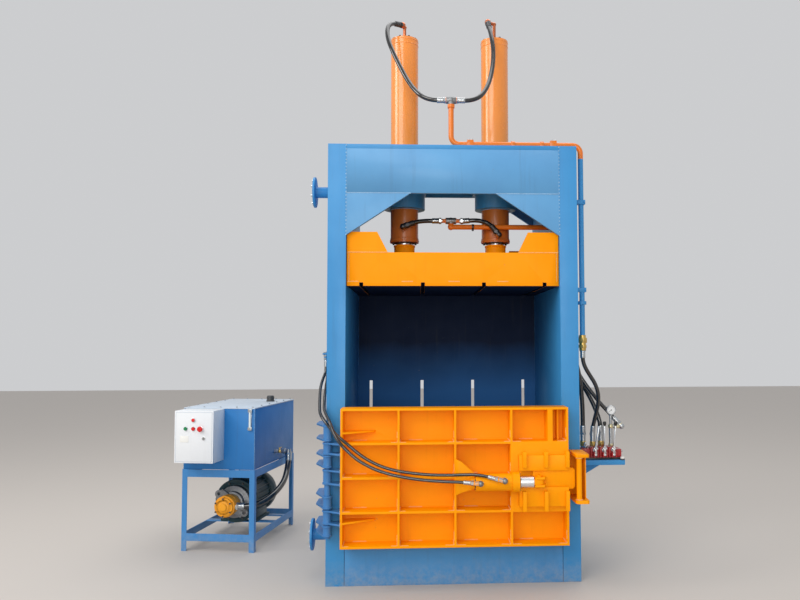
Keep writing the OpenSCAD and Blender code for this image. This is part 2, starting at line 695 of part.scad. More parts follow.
module pipe_clips() on_press() color(orange) {
    for (x = [120, half_w - 140])
        difference() {
            block([x - 22, 80, frame_h], [x + 22, 120, frame_h + pipe_d + 22]);
            pipe_x(x - 30, x + 30, 100, pipe_z0, pipe_d + 2 * seat);
        }
    for (z = [1900, 2500])
        difference() {
            block([half_w, 78, z], [pipe_x1 + 26, 122, z + 30]);
            pipe_z(pipe_x1, 100, z - 1, z + 31, pipe_d + 2 * seat);
        }
}

// Hoses

module rubber_hose(route, d) on_press() color(black) hose(route, d);

module hose_top_left() rubber_hose(top_left_route, hose_d);

module hose_top_right() rubber_hose(top_right_route, hose_d);

module hose_inner_left() rubber_hose(inner_left_route, hose_d);

module hose_inner_right() rubber_hose(inner_right_route, hose_d);

module hose_door_upper() rubber_hose(door_upper_route, door_hose_d);

module hose_door_lower() rubber_hose(door_lower_route, door_hose_d);

module hose_valve_front() rubber_hose(valve_front_route, hose_d - 4);

module hose_valve_middle() rubber_hose(valve_middle_route, hose_d);

module hose_valve_rear() rubber_hose(valve_rear_route, hose_d);

module hose_valve_return() rubber_hose(valve_return_route, hose_d - 4);

// Valve

shelf_z = 742;
valve_x = half_w + 70;
valve_y = 290;
section_x = [for (i = [0:2]) valve_x + 64 + (i + 0.5) * section_w];
lever_z = shelf_z + 38;
lever_y = valve_y - 34;

module valve_shelf() on_press() color(blue) {
    block([half_w, 270, shelf_z - 8], [half_w + 372, 450, shelf_z]);
    block([half_w, 262, shelf_z - 34], [half_w + 372, 270, shelf_z]);
    translate([0, 450, 0]) rotate([90, 0, 0]) linear_extrude(8)
        polygon([[half_w, shelf_z - 8], [half_w + 330, shelf_z - 8], [half_w, shelf_z - 200]]);
}

module valve_block() on_press() color([0.42, 0.05, 0.06]) {
    block([valve_x + 8, valve_y + 6, shelf_z], [valve_x + 62, valve_y + valve_d - 6,
        shelf_z + valve_h - 8]);
    for (x = section_x) {
        block([x - section_w / 2 + 2, valve_y, shelf_z], [x + section_w / 2 - 2,
            valve_y + valve_d, shelf_z + valve_h]);
        block([x - section_w / 2 - 2, valve_y + 12, shelf_z + 8], [x + section_w / 2 + 2,
            valve_y + valve_d - 12, shelf_z + valve_h - 14]);
        difference() {
            block([x - 17, lever_y - 13, lever_z - 16], [x + 17, valve_y, lever_z + 16]);
            block([x - 9, lever_y - 14, lever_z - 17], [x + 9, lever_y + 16, lever_z + 17]);
        }
    }
    block([section_x[2] + section_w / 2, valve_y + 6, shelf_z],
        [section_x[2] + section_w / 2 + 30, valve_y + valve_d - 6, shelf_z + valve_h - 14]);
}

gauge_x = section_x[2];
gauge_z = 1083;

// Ferrules on the valve ports and the riser to the gauge
module valve_fittings() on_press() color(steel) {
    top = shelf_z + valve_h;
    for (route = [valve_front_route, valve_middle_route, valve_rear_route]) {
        e = route[len(route) - 1];
        pipe_z(e.x, e.y, top - (e.x < section_x[0] - section_w / 2 ? 8 : 0), e.z, hose_d + 5);
    }
    e = past_end(valve_return_route, 40);
    hose_end(valve_return_route, hose_d + 4, 40);
    pipe_x(gauge_x, e.x, e.y, e.z, 26);
    pipe_z(gauge_x, e.y, top, e.z, 26);
    pipe_z(gauge_x, e.y, e.z, gauge_z - 34, 16);
    translate([gauge_x, e.y, e.z]) sphere(d = 34);
}

module pressure_gauge() on_press() color([0.92, 0.93, 0.95]) {
    y = past_end(valve_return_route, 40).y;
    pipe_y(gauge_x, y - 22, y + 10, gauge_z, 62);
    pipe_y(gauge_x, y - 27, y - 22, gauge_z, 66);
    pipe_z(gauge_x, y, gauge_z - 34, gauge_z - 28, 20);
}

// A lever with its fork, grip rod and knob, on a cross pivot
module lever(i) on_press() color(steel) {
    x = section_x[i];
    pipe_x(x - 8.7, x + 8.7, lever_y, lever_z, 18);
    block([x - 5, lever_y - 9, lever_z], [x + 5, lever_y + 9, lever_z + 40]);
    pipe_z(x, lever_y, lever_z + 40, lever_z + lever_l, 11);
    translate([x, lever_y, lever_z + lever_l]) sphere(d = 24);
}

module lever_front() lever(0);

module lever_middle() lever(1);

module lever_rear() lever(2);

// Power unit: X runs back from its right edge, Y from its front

unit_x = -1466;
unit_y = 817;
unit_turn = -9.49;

module on_unit() {
    translate([unit_x, front + unit_y, 0]) rotate([0, 0, unit_turn]) children();
}

leg_x0 = 8 - unit_w;
leg_x1 = 8;

module leg_angle(x, y, sx, sy) {
    block([min(x, x + sx * angle_w), min(y, y + sy * angle_t), 0],
        [max(x, x + sx * angle_w), max(y, y + sy * angle_t), tank_z]);
    block([min(x, x + sx * angle_t), min(y, y + sy * angle_w), 0],
        [max(x, x + sx * angle_t), max(y, y + sy * angle_w), tank_z]);
}

module unit_stand() on_unit() color(blue) {
    leg_angle(leg_x0, 0, 1, 1);
    leg_angle(leg_x1, 0, -1, 1);
    leg_angle(leg_x0, unit_d, 1, -1);
    leg_angle(leg_x1, unit_d, -1, -1);
    for (z = [76, tank_z - 58]) {
        block([leg_x0 + angle_t, 0, z], [leg_x1 - angle_t, angle_t, z + 56]);
        block([leg_x0 + angle_t, unit_d - angle_t, z], [leg_x1 - angle_t, unit_d, z + 56]);
        for (x = [leg_x0, leg_x1 - angle_t])
            block([x, angle_w, z], [x + angle_t, unit_d - angle_w, z + 56]);
    }
    for (y = [420, 640])
        block([leg_x0 + angle_t, y, 76 + 56 - 8], [leg_x1 - angle_t, y + 60, 76 + 56]);
}

module oil_tank() on_unit() color(blue) difference() {
    block([leg_x0 + 6, 6, tank_z], [leg_x1 - 6, unit_d - 6, unit_h]);
    block([leg_x0 + 9, 9, tank_z + 3], [leg_x1 - 9, unit_d - 9, unit_h + 1]);
}

module tank_lid() on_unit() color([0.78, 0.84, 0.90])
    difference() {
        block([leg_x0 + 2, 2, unit_h], [leg_x1 - 2, unit_d - 2, unit_h + 8]);
        pipe_z(-112, 640, unit_h - 1, unit_h + 9, 50);
    }

module filler_cap() on_unit() color([0.2, 0.21, 0.22]) {
    pipe_z(-112, 640, unit_h - 40, unit_h + 8, 49.4);
    pipe_z(-112, 640, unit_h + 8, unit_h + 18, 70);
    pipe_z(-112, 640, unit_h + 18, unit_h + 56, 58);
}

module level_gauge() on_unit() color([0.9, 0.92, 0.92]) {
    block([-46, -14, unit_h - 159], [-16, 5.8, unit_h - 1]);
}

module tank_fittings() on_unit() color(steel) {
    pipe_x(2, 26, 435, 690, 34);
    pipe_x(26, 36, 435, 690, 26);
    pipe_x(2, 62, 600, 668, 34);
    pipe_x(20, 34, 600, 668, 46);
    pipe_z(62, 600, 640, 685, 40);
}

// Axis of the motor, and the two ends of its casing
axis_x = leg_x1 - unit_w / 2;
motor_y0 = 345;
motor_y1 = 800;

module motor() on_unit() color([0.06, 0.16, 0.17]) {
    x = axis_x;
    fins_y0 = motor_y0 + 27;
    fins_y1 = motor_y1 - 112;
    pipe_y(x, fins_y0 - 12, fins_y1 + 12, motor_z, motor_d - 40);
    pipe_y(x, motor_y0, fins_y0, motor_z, motor_d);
    pipe_y(x, fins_y1, motor_y1, motor_z, motor_d);
    for (a = [0:15:359])
        translate([x, fins_y0, motor_z]) rotate([0, a, 0])
            block([motor_d / 2 - 22, 0, -2], [motor_d / 2 - 3, fins_y1 - fins_y0, 2]);
    for (s = [-1, 1])
        block([x + s * 120 - 30, 400, 132], [x + s * 120 + 30, 680, 152]);
    for (s = [-1, 1])
        block([x + s * 110 - 16, 400, 152], [x + s * 110 + 16, 680, motor_z - 60]);
    block([x - 70, 430, motor_z + motor_d / 2 - 26], [x + 70, 560, motor_z + motor_d / 2 + 30]);
}

module bell_housing() on_unit() color([0.55, 0.56, 0.57]) {
    x = axis_x;
    pipe_y(x, motor_y0 - 45, motor_y0, motor_z, 250);
    pipe_y(x, motor_y0 - 83, motor_y0 - 45, motor_z, 170);
    difference() {
        translate([x, motor_y0 - 83, motor_z]) rotate([0, 35, 0]) flange_plate();
        translate([x, motor_y0 - 145, motor_z]) rotate([0, 35, 0]) {
            pipe_y(-125, 0, 100, 0, 24);
            pipe_y(125, 0, 100, 0, 24);
        }
    }
}

module flange_plate() rotate([90, 0, 0]) linear_extrude(18) {
    square([250, 96], center = true);
    for (s = [-1, 1]) translate([s * 125, 0]) circle(d = 60);
}

module pump() on_unit() color([1.0, 0.62, 0.1]) {
    x = axis_x;
    pipe_y(x, 168, 244, motor_z, 150);
    pipe_y(x, 120, 168, motor_z, 162);
    pipe_y(x, 100, 120, motor_z, 140);
    for (a = [30:60:330])
        translate([x, 92, motor_z]) rotate([0, a, 0]) pipe_y(66, 0, 30, 0, 18);
    pipe_x(x + 60, x + 92, 152, motor_z, 48);
    pipe_x(x + 92, x + 104, 152, motor_z, 40);
    pipe_x(x - 100, x - 60, 200, motor_z, 44);
}

cab_x0 = -534;
cab_z0 = tank_z + 75;

module cabinet_box() on_unit() color([0.93, 0.94, 0.95]) difference() {
    block([cab_x0, -cab_d, cab_z0], [cab_x0 + cab_w, 5.8, cab_z0 + cab_h]);
    block([cab_x0 + 3, -cab_d - 1, cab_z0 + 3], [cab_x0 + cab_w - 3, -3, cab_z0 + cab_h - 3]);
}

cab_face = -cab_d - 20;

module cabinet_door() on_unit() color([0.95, 0.96, 0.97]) difference() {
    block([cab_x0, cab_face, cab_z0], [cab_x0 + cab_w, -cab_d - 0.5, cab_z0 + cab_h]);
    block([cab_x0 + 3, cab_face + 3, cab_z0 + 3],
        [cab_x0 + cab_w - 3, -cab_d + 1, cab_z0 + cab_h - 3]);
    for (p = [start_at, stop_at, mushroom_at])
        pipe_y(p[0], cab_face - 1, cab_face + 4, p[1], 22.2);
    pipe_y(lock_at[0], cab_face - 1, cab_face + 4, lock_at[1], 18.2);
}

lamp_at = [-388, cab_z0 + 313];
start_at = [-447, cab_z0 + 250];
stop_at = [-388, cab_z0 + 250];
mushroom_at = [-329, cab_z0 + 250];
lock_at = [-307, cab_z0 + 180];

module pilot_lamp() on_unit() color([0.85, 0.05, 0.05]) {
    pipe_y(lamp_at[0], cab_face - 5, cab_face, lamp_at[1], 30);
    pipe_y(lamp_at[0], cab_face - 13, cab_face - 5, lamp_at[1], 24);
}

module push_button(p, d, out) {
    pipe_y(p[0], cab_face - out, cab_face + 14, p[1], 22);
    pipe_y(p[0], cab_face - out - 6, cab_face - out, p[1], d);
}

module start_button() on_unit() color([0.05, 0.45, 0.25]) push_button(start_at, 26, 6);

module stop_button() on_unit() color([0.75, 0.05, 0.05]) push_button(stop_at, 26, 6);

module mushroom_button() on_unit() color([0.80, 0.05, 0.05]) {
    pipe_y(mushroom_at[0], cab_face - 14, cab_face + 14, mushroom_at[1], 22);
    pipe_y(mushroom_at[0], cab_face - 22, cab_face - 14, mushroom_at[1], 34);
    pipe_y(mushroom_at[0], cab_face - 30, cab_face - 22, mushroom_at[1], 40);
}

module cabinet_lock() on_unit() color(steel) {
    pipe_y(lock_at[0], cab_face - 8, cab_face - 0.4, lock_at[1], 24);
    pipe_y(lock_at[0], cab_face - 0.4, cab_face + 10, lock_at[1], 18);
    block([lock_at[0] - 8, cab_face + 10, lock_at[1] - 30],
        [lock_at[0] + 8, cab_face + 12, lock_at[1] + 8]);
}

module hose_suction() on_unit() color(black) hose(suction_route, 46);

base_frame();
side_wall_left();
side_wall_right();
rear_wall();
top_beam();
corner_gussets();
crosshead();
side_stubs();
frame_hinge_lugs();
hinge_pin();
bolt_keeper();
cylinder_barrel_left();
cylinder_barrel_right();
top_pipe();
side_pipe();
inner_pipe();
pipe_clips();
valve_shelf();
valve_block();
valve_fittings();
pressure_gauge();
unit_stand();
oil_tank();
tank_lid();
filler_cap();
level_gauge();
tank_fittings();
motor();
bell_housing();
pump();
cabinet_box();
hose_top_left();
hose_top_right();
hose_inner_left();
hose_inner_right();
hose_suction();
hose_valve_front();
hose_valve_middle();
hose_valve_rear();
hose_valve_return();
platen();
piston_rods();
door_panel();
door_hinge_lugs();
bolt_guides();
lock_barrel();
hose_door_upper();
hose_door_lower();
bolt_plate();
lock_rod();
clevis_pin();
lever_front();
lever_middle();
lever_rear();
cabinet_door();
pilot_lamp();
start_button();
stop_button();
mushroom_button();
cabinet_lock();
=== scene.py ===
"""A vertical recycling baler: two main cylinders, a bolted swing door and a power unit."""

import math
import random

import bmesh
import bpy
from mathutils import Matrix, Vector
from mathutils.geometry import interpolate_bezier


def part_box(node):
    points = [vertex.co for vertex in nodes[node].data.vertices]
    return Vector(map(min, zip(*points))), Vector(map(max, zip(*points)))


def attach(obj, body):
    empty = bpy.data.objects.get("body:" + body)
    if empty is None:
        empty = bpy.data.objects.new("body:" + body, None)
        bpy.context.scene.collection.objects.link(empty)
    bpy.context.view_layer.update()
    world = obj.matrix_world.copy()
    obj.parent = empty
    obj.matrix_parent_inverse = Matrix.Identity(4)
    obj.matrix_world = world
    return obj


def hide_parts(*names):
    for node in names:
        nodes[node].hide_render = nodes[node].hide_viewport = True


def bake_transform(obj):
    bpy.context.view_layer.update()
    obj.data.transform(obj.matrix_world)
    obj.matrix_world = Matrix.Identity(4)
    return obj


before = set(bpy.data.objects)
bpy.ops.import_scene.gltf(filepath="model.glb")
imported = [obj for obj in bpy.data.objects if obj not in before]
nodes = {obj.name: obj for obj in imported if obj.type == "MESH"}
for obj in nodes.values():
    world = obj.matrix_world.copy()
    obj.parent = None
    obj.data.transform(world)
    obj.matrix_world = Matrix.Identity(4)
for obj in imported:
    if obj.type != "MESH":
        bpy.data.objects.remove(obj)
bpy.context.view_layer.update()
scene = bpy.context.scene
random.seed(11)

# Millimetres in the row, on the press (from the front of its posts) and on the power unit.
MM = Matrix.Scale(0.001, 4)
PRESS = Matrix.Translation((0, -0.6, 0)) @ MM
UNIT = (
    Matrix.Translation((-1.466, 0.217, 0))
    @ Matrix.Rotation(math.radians(-9.49), 4, "Z")
    @ MM
)
LEFT, RIGHT, FORWARD, BACK = (-1, 0, 0), (1, 0, 0), (0, -1, 0), (0, 1, 0)
UP, DOWN, MIDDLE = (0, 0, 1), (0, 0, -1), (0, 0, 0)

# ---- camera ----

camera_data = bpy.data.cameras.new("camera")
camera_data.lens = 33.94
camera_data.sensor_width = 36
camera_data.shift_x = -0.0728
camera_data.clip_end = 60
camera = bpy.data.objects.new("camera", camera_data)
scene.collection.objects.link(camera)
camera.matrix_world = (
    Matrix.Translation((-0.235, -5.568, 1.566))
    @ Matrix.Rotation(math.radians(-3.05), 4, "Z")
    @ Matrix.Rotation(math.radians(93.17), 4, "X")
    @ Matrix.Rotation(math.radians(-0.18), 4, "Z")
)
scene.camera = camera

# ---- materials ----


def srgb(red, green, blue):
    """A screen colour, 0 to 255, as the linear colour that shaders take."""
    steps = [c / 255 for c in (red, green, blue)]
    return [c / 12.92 if c <= 0.04045 else ((c + 0.055) / 1.055) ** 2.4 for c in steps] + [1]


class Effect:
    """A shared node group that gives a surface its colour, roughness and normal."""

    RESULTS = ("Color", "Roughness", "Normal")

    def __init__(self, name, colours, numbers, vectors=()):
        self.tree = bpy.data.node_groups.new(name, "ShaderNodeTree")
        for kind, labels in (("Color", colours), ("Float", numbers), ("Vector", vectors)):
            for label in labels:
                self.socket(label, "INPUT", kind)
        for label, kind in zip(self.RESULTS, ("Color", "Float", "Vector")):
            self.socket(label, "OUTPUT", kind)
        self.given = self.tree.nodes.new("NodeGroupInput").outputs
        self.where = self.make("ShaderNodeTexCoord", {}, "Object")

    def socket(self, label, way, kind):
        self.tree.interface.new_socket(label, in_out=way, socket_type=f"NodeSocket{kind}")

    def make(self, kind, inputs, output=0, **settings):
        """Adds a node, feeds it joins or plain values, and gives one of its outputs."""
        made = self.tree.nodes.new(kind)
        for key, value in settings.items():
            setattr(made, key, value)
        for key, value in inputs.items():
            if isinstance(value, bpy.types.NodeSocket):
                self.tree.links.new(value, made.inputs[key])
            else:
                made.inputs[key].default_value = value
        return made.outputs[output]

    def noise(self, vector, scale, detail=3, rough=0.5):
        return self.make("ShaderNodeTexNoise", {"Vector": vector, "Scale": scale,
                                                "Detail": detail, "Roughness": rough}, "Fac")

    def remap(self, value, low, high, to_low=0.0, to_high=1.0):
        return self.make("ShaderNodeMapRange", {
            "Value": value, "From Min": low, "From Max": high,
            "To Min": to_low, "To Max": to_high}, "Result")

    def times(self, first, second):
        return self.make("ShaderNodeMath", {0: first, 1: second}, operation="MULTIPLY")

    def plus(self, first, second):
        return self.make("ShaderNodeMath", {0: first, 1: second}, operation="ADD")

    def mix(self, factor, first, second, blend="MIX"):
        """Mixes two colours, which are the node's sockets 6 and 7 and its output 2."""
        return self.make("ShaderNodeMix", {0: factor, 6: first, 7: second}, 2,
                         data_type="RGBA", blend_type=blend)

    def bump(self, height, strength, distance, over=None):
        inputs = {"Height": height, "Strength": strength, "Distance": distance}
        if over is not None:
            inputs["Normal"] = over
        return self.make("ShaderNodeBump", inputs, "Normal")

    def give(self, *results):
        made = self.tree.nodes.new("NodeGroupOutput")
        for label, value in zip(self.RESULTS, results):
            self.tree.links.new(value, made.inputs[label])
        return self.tree


def make_paint_effect():
    """Sprayed enamel: cloudy shade, runs of grime, painted light on the lower part, chips and
    dust below.
    """
    w = Effect("sprayed_enamel", ("Paint", "Grime Tint", "Chip Tint", "Painted Light Tint"),
               ("Shade", "Grime", "Chips", "Dust", "Gloss", "Peel", "Painted Light"))
    given, where = w.given, w.where
    cloud = w.remap(w.noise(where, 1.9, 4), 0.3, 0.7)
    patches = w.remap(w.noise(where, 7.5, 5, 0.6), 0.35, 0.75)
    darker = w.mix(1.0, given["Paint"], (0.62, 0.66, 0.74, 1), "MULTIPLY")
    shade = w.times(w.plus(cloud, w.times(patches, 0.5)), given["Shade"])
    colour = w.mix(shade, given["Paint"], darker)
    tall = w.make("ShaderNodeMapping", {"Vector": where, "Scale": (14, 14, 0.8)}, "Vector")
    runs = w.times(w.remap(w.noise(tall, 2.2, 4, 0.6), 0.56, 0.86), given["Grime"])
    colour = w.mix(runs, colour, given["Grime Tint"])
    height = w.make("ShaderNodeSeparateXYZ", {0: where}, "Z")
    # Painted light: below about 1.2 to 1.6 m in height the colour turns to a lighter tint.
    painted_light = w.remap(w.plus(height, w.times(cloud, 0.1)), 1.62, 1.22)
    colour = w.mix(w.times(painted_light, given["Painted Light"]), colour, given["Painted Light Tint"])
    speckle = w.remap(w.noise(where, 46, 6, 0.7), 0.66, 0.68)
    chips = w.times(speckle, w.remap(w.noise(where, 3.1, 3), 0.48, 0.66))
    chips = w.times(chips, given["Chips"])
    colour = w.mix(chips, colour, given["Chip Tint"])
    low = w.remap(height, 0.0, 0.17, 1.0, 0.0)
    low = w.times(low, w.remap(w.noise(where, 26, 6, 0.7), 0.34, 0.66))
    colour = w.mix(w.times(low, given["Dust"]), colour, srgb(176, 168, 154))
    rough = w.plus(given["Gloss"], w.times(patches, 0.10))
    rough = w.plus(w.plus(rough, w.times(chips, 0.25)), w.times(runs, 0.2))
    plate = w.bump(w.noise(where, 3.4, 2), 0.35, 0.004)
    peel = w.bump(w.noise(where, 320, 2), given["Peel"], 0.0006, plate)
    return w.give(colour, rough, w.bump(chips, 0.4, -0.0006, peel))


def make_metal_effect():
    """Turned or plated metal: fine rings of tool marks, stains and a little dullness."""
    w = Effect("worked_metal", ("Metal", "Stain"), ("Staining", "Gloss", "Marks"), ("Grain",))
    given, where = w.given, w.where
    scaled = w.make("ShaderNodeVectorMath", {0: where, 1: given["Grain"]},
                    operation="MULTIPLY")
    marks = w.noise(scaled, 1.0, 3, 0.6)
    stains = w.remap(w.noise(where, 24, 5, 0.65), 0.52, 0.72)
    colour = w.mix(w.times(stains, given["Staining"]), given["Metal"], given["Stain"])
    tone = w.remap(marks, 0.3, 0.7, 0.86, 1.0)
    grey = w.make("ShaderNodeCombineColor", {0: tone, 1: tone, 2: tone})
    rough = w.plus(w.plus(given["Gloss"], w.times(stains, 0.15)), w.times(marks, 0.08))
    return w.give(w.mix(1.0, colour, grey, "MULTIPLY"), rough,
                  w.bump(marks, given["Marks"], 0.0004))


def make_moulded_effect():
    """Moulded rubber or plastic: faint bloom, a fine grain and dust."""
    w = Effect("moulded", ("Base", "Bloom"), ("Blooming", "Gloss", "Grain"))
    given, where = w.given, w.where
    dust = w.remap(w.noise(where, 16, 5, 0.65), 0.42, 0.74)
    colour = w.mix(w.times(dust, given["Blooming"]), given["Base"], given["Bloom"])
    return w.give(colour, w.plus(given["Gloss"], w.times(dust, 0.18)),
                  w.bump(w.noise(where, 620, 2), given["Grain"], 0.0004))


PAINT = make_paint_effect()
METAL = make_metal_effect()
MOULDED = make_moulded_effect()


def finish(name, effect, settings, metallic=0.0, coat=0.0, specular=0.5):
    """A material that takes its looks from one of the effects."""
    made = bpy.data.materials.new(name)
    made.use_nodes = True
    tree = made.node_tree
    shader = tree.nodes["Principled BSDF"].inputs
    for key, value in (("Metallic", metallic), ("Coat Weight", coat), ("Coat Roughness", 0.12),
                       ("Specular IOR Level", specular)):
        shader[key].default_value = value
    group = tree.nodes.new("ShaderNodeGroup")
    group.node_tree = effect
    for key, value in settings.items():
        group.inputs[key].default_value = value
    for label, target in zip(Effect.RESULTS, ("Base Color", "Roughness", "Normal")):
        tree.links.new(group.outputs[label], shader[target])
    return made


# The last two settings paint light onto a surface's lower part: a lighter tint below about 1.2
# to 1.6 m.
def enamel(name, colour, shade=0.3, grime=0.2, chips=0.45, dust=0.4, gloss=0.4, peel=0.2,
           coat=0.06, specular=0.32, chip_tint=(120, 112, 104), grime_tint=(70, 66, 62),
           painted_light=0.0, painted_light_tint=(44, 98, 156)):
    return finish(name, PAINT, {
        "Paint": srgb(*colour), "Grime Tint": srgb(*grime_tint), "Chip Tint": srgb(*chip_tint),
        "Painted Light Tint": srgb(*painted_light_tint), "Painted Light": painted_light, "Shade": shade, "Grime": grime,
        "Chips": chips, "Dust": dust, "Gloss": gloss, "Peel": peel},
        coat=coat, specular=specular)


def metal(name, colour, gloss=0.22, staining=0.3, marks=0.2, grain=(60, 60, 900),
          stain=(96, 88, 78)):
    return finish(name, METAL, {
        "Metal": srgb(*colour), "Stain": srgb(*stain), "Staining": staining, "Gloss": gloss,
        "Marks": marks, "Grain": grain}, metallic=1.0)


def moulded(name, colour, gloss=0.35, blooming=0.25, grain=0.1, bloom=(140, 136, 130),
            specular=0.5):
    return finish(name, MOULDED, {
        "Base": srgb(*colour), "Bloom": srgb(*bloom), "Blooming": blooming, "Gloss": gloss,
        "Grain": grain}, specular=specular)


frame_blue = enamel("frame_blue", (60, 142, 200))
beam_blue = enamel("beam_blue", (96, 158, 206), chips=0.3)
base_blue = enamel("base_blue", (70, 140, 196), chips=0.7)
wall_blue = enamel("wall_blue", (58, 134, 194), grime=0.3, chips=0.6, gloss=0.5)
dull = {"grime": 0.3, "chips": 0.3, "gloss": 0.6, "specular": 0.12, "coat": 0.0}
# The dark blue colours the base's joints, and it is also the painted shade under the platen.
dark_blue = enamel("dark_blue", (20, 34, 60), **dull)
# The chamber's dark blue is painted shade, lightened low down as painted light.
chamber_painted_shade = enamel("chamber_painted_shade", (20, 34, 60), painted_light=0.9, **dull)
hinge_blue = enamel("hinge_blue", (60, 122, 182), chips=0.6)
tank_blue = enamel("tank_blue", (32, 116, 182), chips=0.3)
stand_blue = enamel("stand_blue", (66, 136, 196), chips=0.6)
door_orange = enamel("door_orange", (255, 160, 0), shade=0.14, grime=0.1, specular=0.1,
                     coat=0.0, grime_tint=(120, 62, 20))
platen_orange = enamel("platen_orange", (255, 154, 0), shade=0.14, grime=0.12, chips=0.6,
                       specular=0.1, coat=0.0, grime_tint=(120, 62, 20))
cylinder_orange = enamel("cylinder_orange", (248, 148, 58), shade=0.25, grime=0.15, chips=0.25,
                         gloss=0.22, coat=0.45, specular=0.5, grime_tint=(120, 52, 20))
# A darker orange that paints shade on the barrels' lower ends.
painted_shade_orange = enamel("painted_shade_orange", (204, 114, 46), grime=0.4, chips=0.3, gloss=0.3,
                      coat=0.2, grime_tint=(70, 34, 16))
pipe_orange = enamel("pipe_orange", (238, 124, 36), gloss=0.26, coat=0.3)
pump_yellow = enamel("pump_yellow", (244, 164, 34), grime=0.3, chips=0.4)
valve_red = enamel("valve_red", (172, 26, 28), grime=0.25, gloss=0.26, coat=0.3,
                   specular=0.5, grime_tint=(40, 26, 24))
motor_teal = enamel("motor_teal", (30, 64, 70), shade=0.4, grime=0.3, gloss=0.34,
                    grime_tint=(30, 30, 30))
cabinet_white = enamel("cabinet_white", (226, 229, 232), shade=0.1, grime=0.08, chips=0.1,
                       grime_tint=(150, 146, 138))
lid_pale = enamel("lid_pale", (192, 204, 216), shade=0.2, chips=0.2)
weld_blue = enamel("weld_blue", (146, 186, 216), shade=0.5, grime=0.15, chips=0.8)
weld_orange = enamel("weld_orange", (255, 188, 112), shade=0.35, grime=0.1, chips=0.7)
chrome = metal("chrome", (240, 242, 245), gloss=0.3, staining=0.05, marks=0.01,
               grain=(30, 30, 300))
zinc = metal("zinc_plate", (196, 200, 202), gloss=0.24)
cast_grey = metal("cast_grey", (150, 152, 154), gloss=0.45, staining=0.5, marks=0.5,
                  grain=(220, 220, 220))
brass = metal("brass", (224, 190, 112), gloss=0.3, stain=(120, 92, 44))
bright_plate = metal("bright_plate", (236, 238, 238), gloss=0.32, staining=0.15)
yellow_zinc = metal("yellow_zinc", (232, 220, 178), gloss=0.28, staining=0.2)
copper = metal("copper", (206, 122, 84), gloss=0.28, stain=(110, 60, 44))
dark_steel = metal("dark_steel", (92, 92, 94), gloss=0.4, staining=0.5)
hose_rubber = moulded("hose_rubber", (16, 16, 18), gloss=0.07, blooming=0.05, grain=0.0,
                      specular=1.0)
black_plastic = moulded("black_plastic", (22, 22, 24), gloss=0.3)
cap_grey = moulded("cap_grey", (52, 54, 56))
white_plastic = moulded("white_plastic", (232, 232, 228), gloss=0.25, blooming=0.1)
red_plastic = moulded("red_plastic", (206, 24, 26), gloss=0.16, blooming=0.05)
green_plastic = moulded("green_plastic", (22, 128, 78), gloss=0.16, blooming=0.05)
lamp_red = moulded("lamp_red", (214, 20, 22), gloss=0.06, blooming=0.0)
dial_white = moulded("dial_white", (238, 240, 240), gloss=0.3, blooming=0.04)
dial_ink = moulded("dial_ink", (20, 20, 22), gloss=0.4, blooming=0.0)
sight_glass = moulded("sight_glass", (226, 232, 226), gloss=0.1, blooming=0.05)

# ---- making pieces ----

SHARP = math.radians(35)


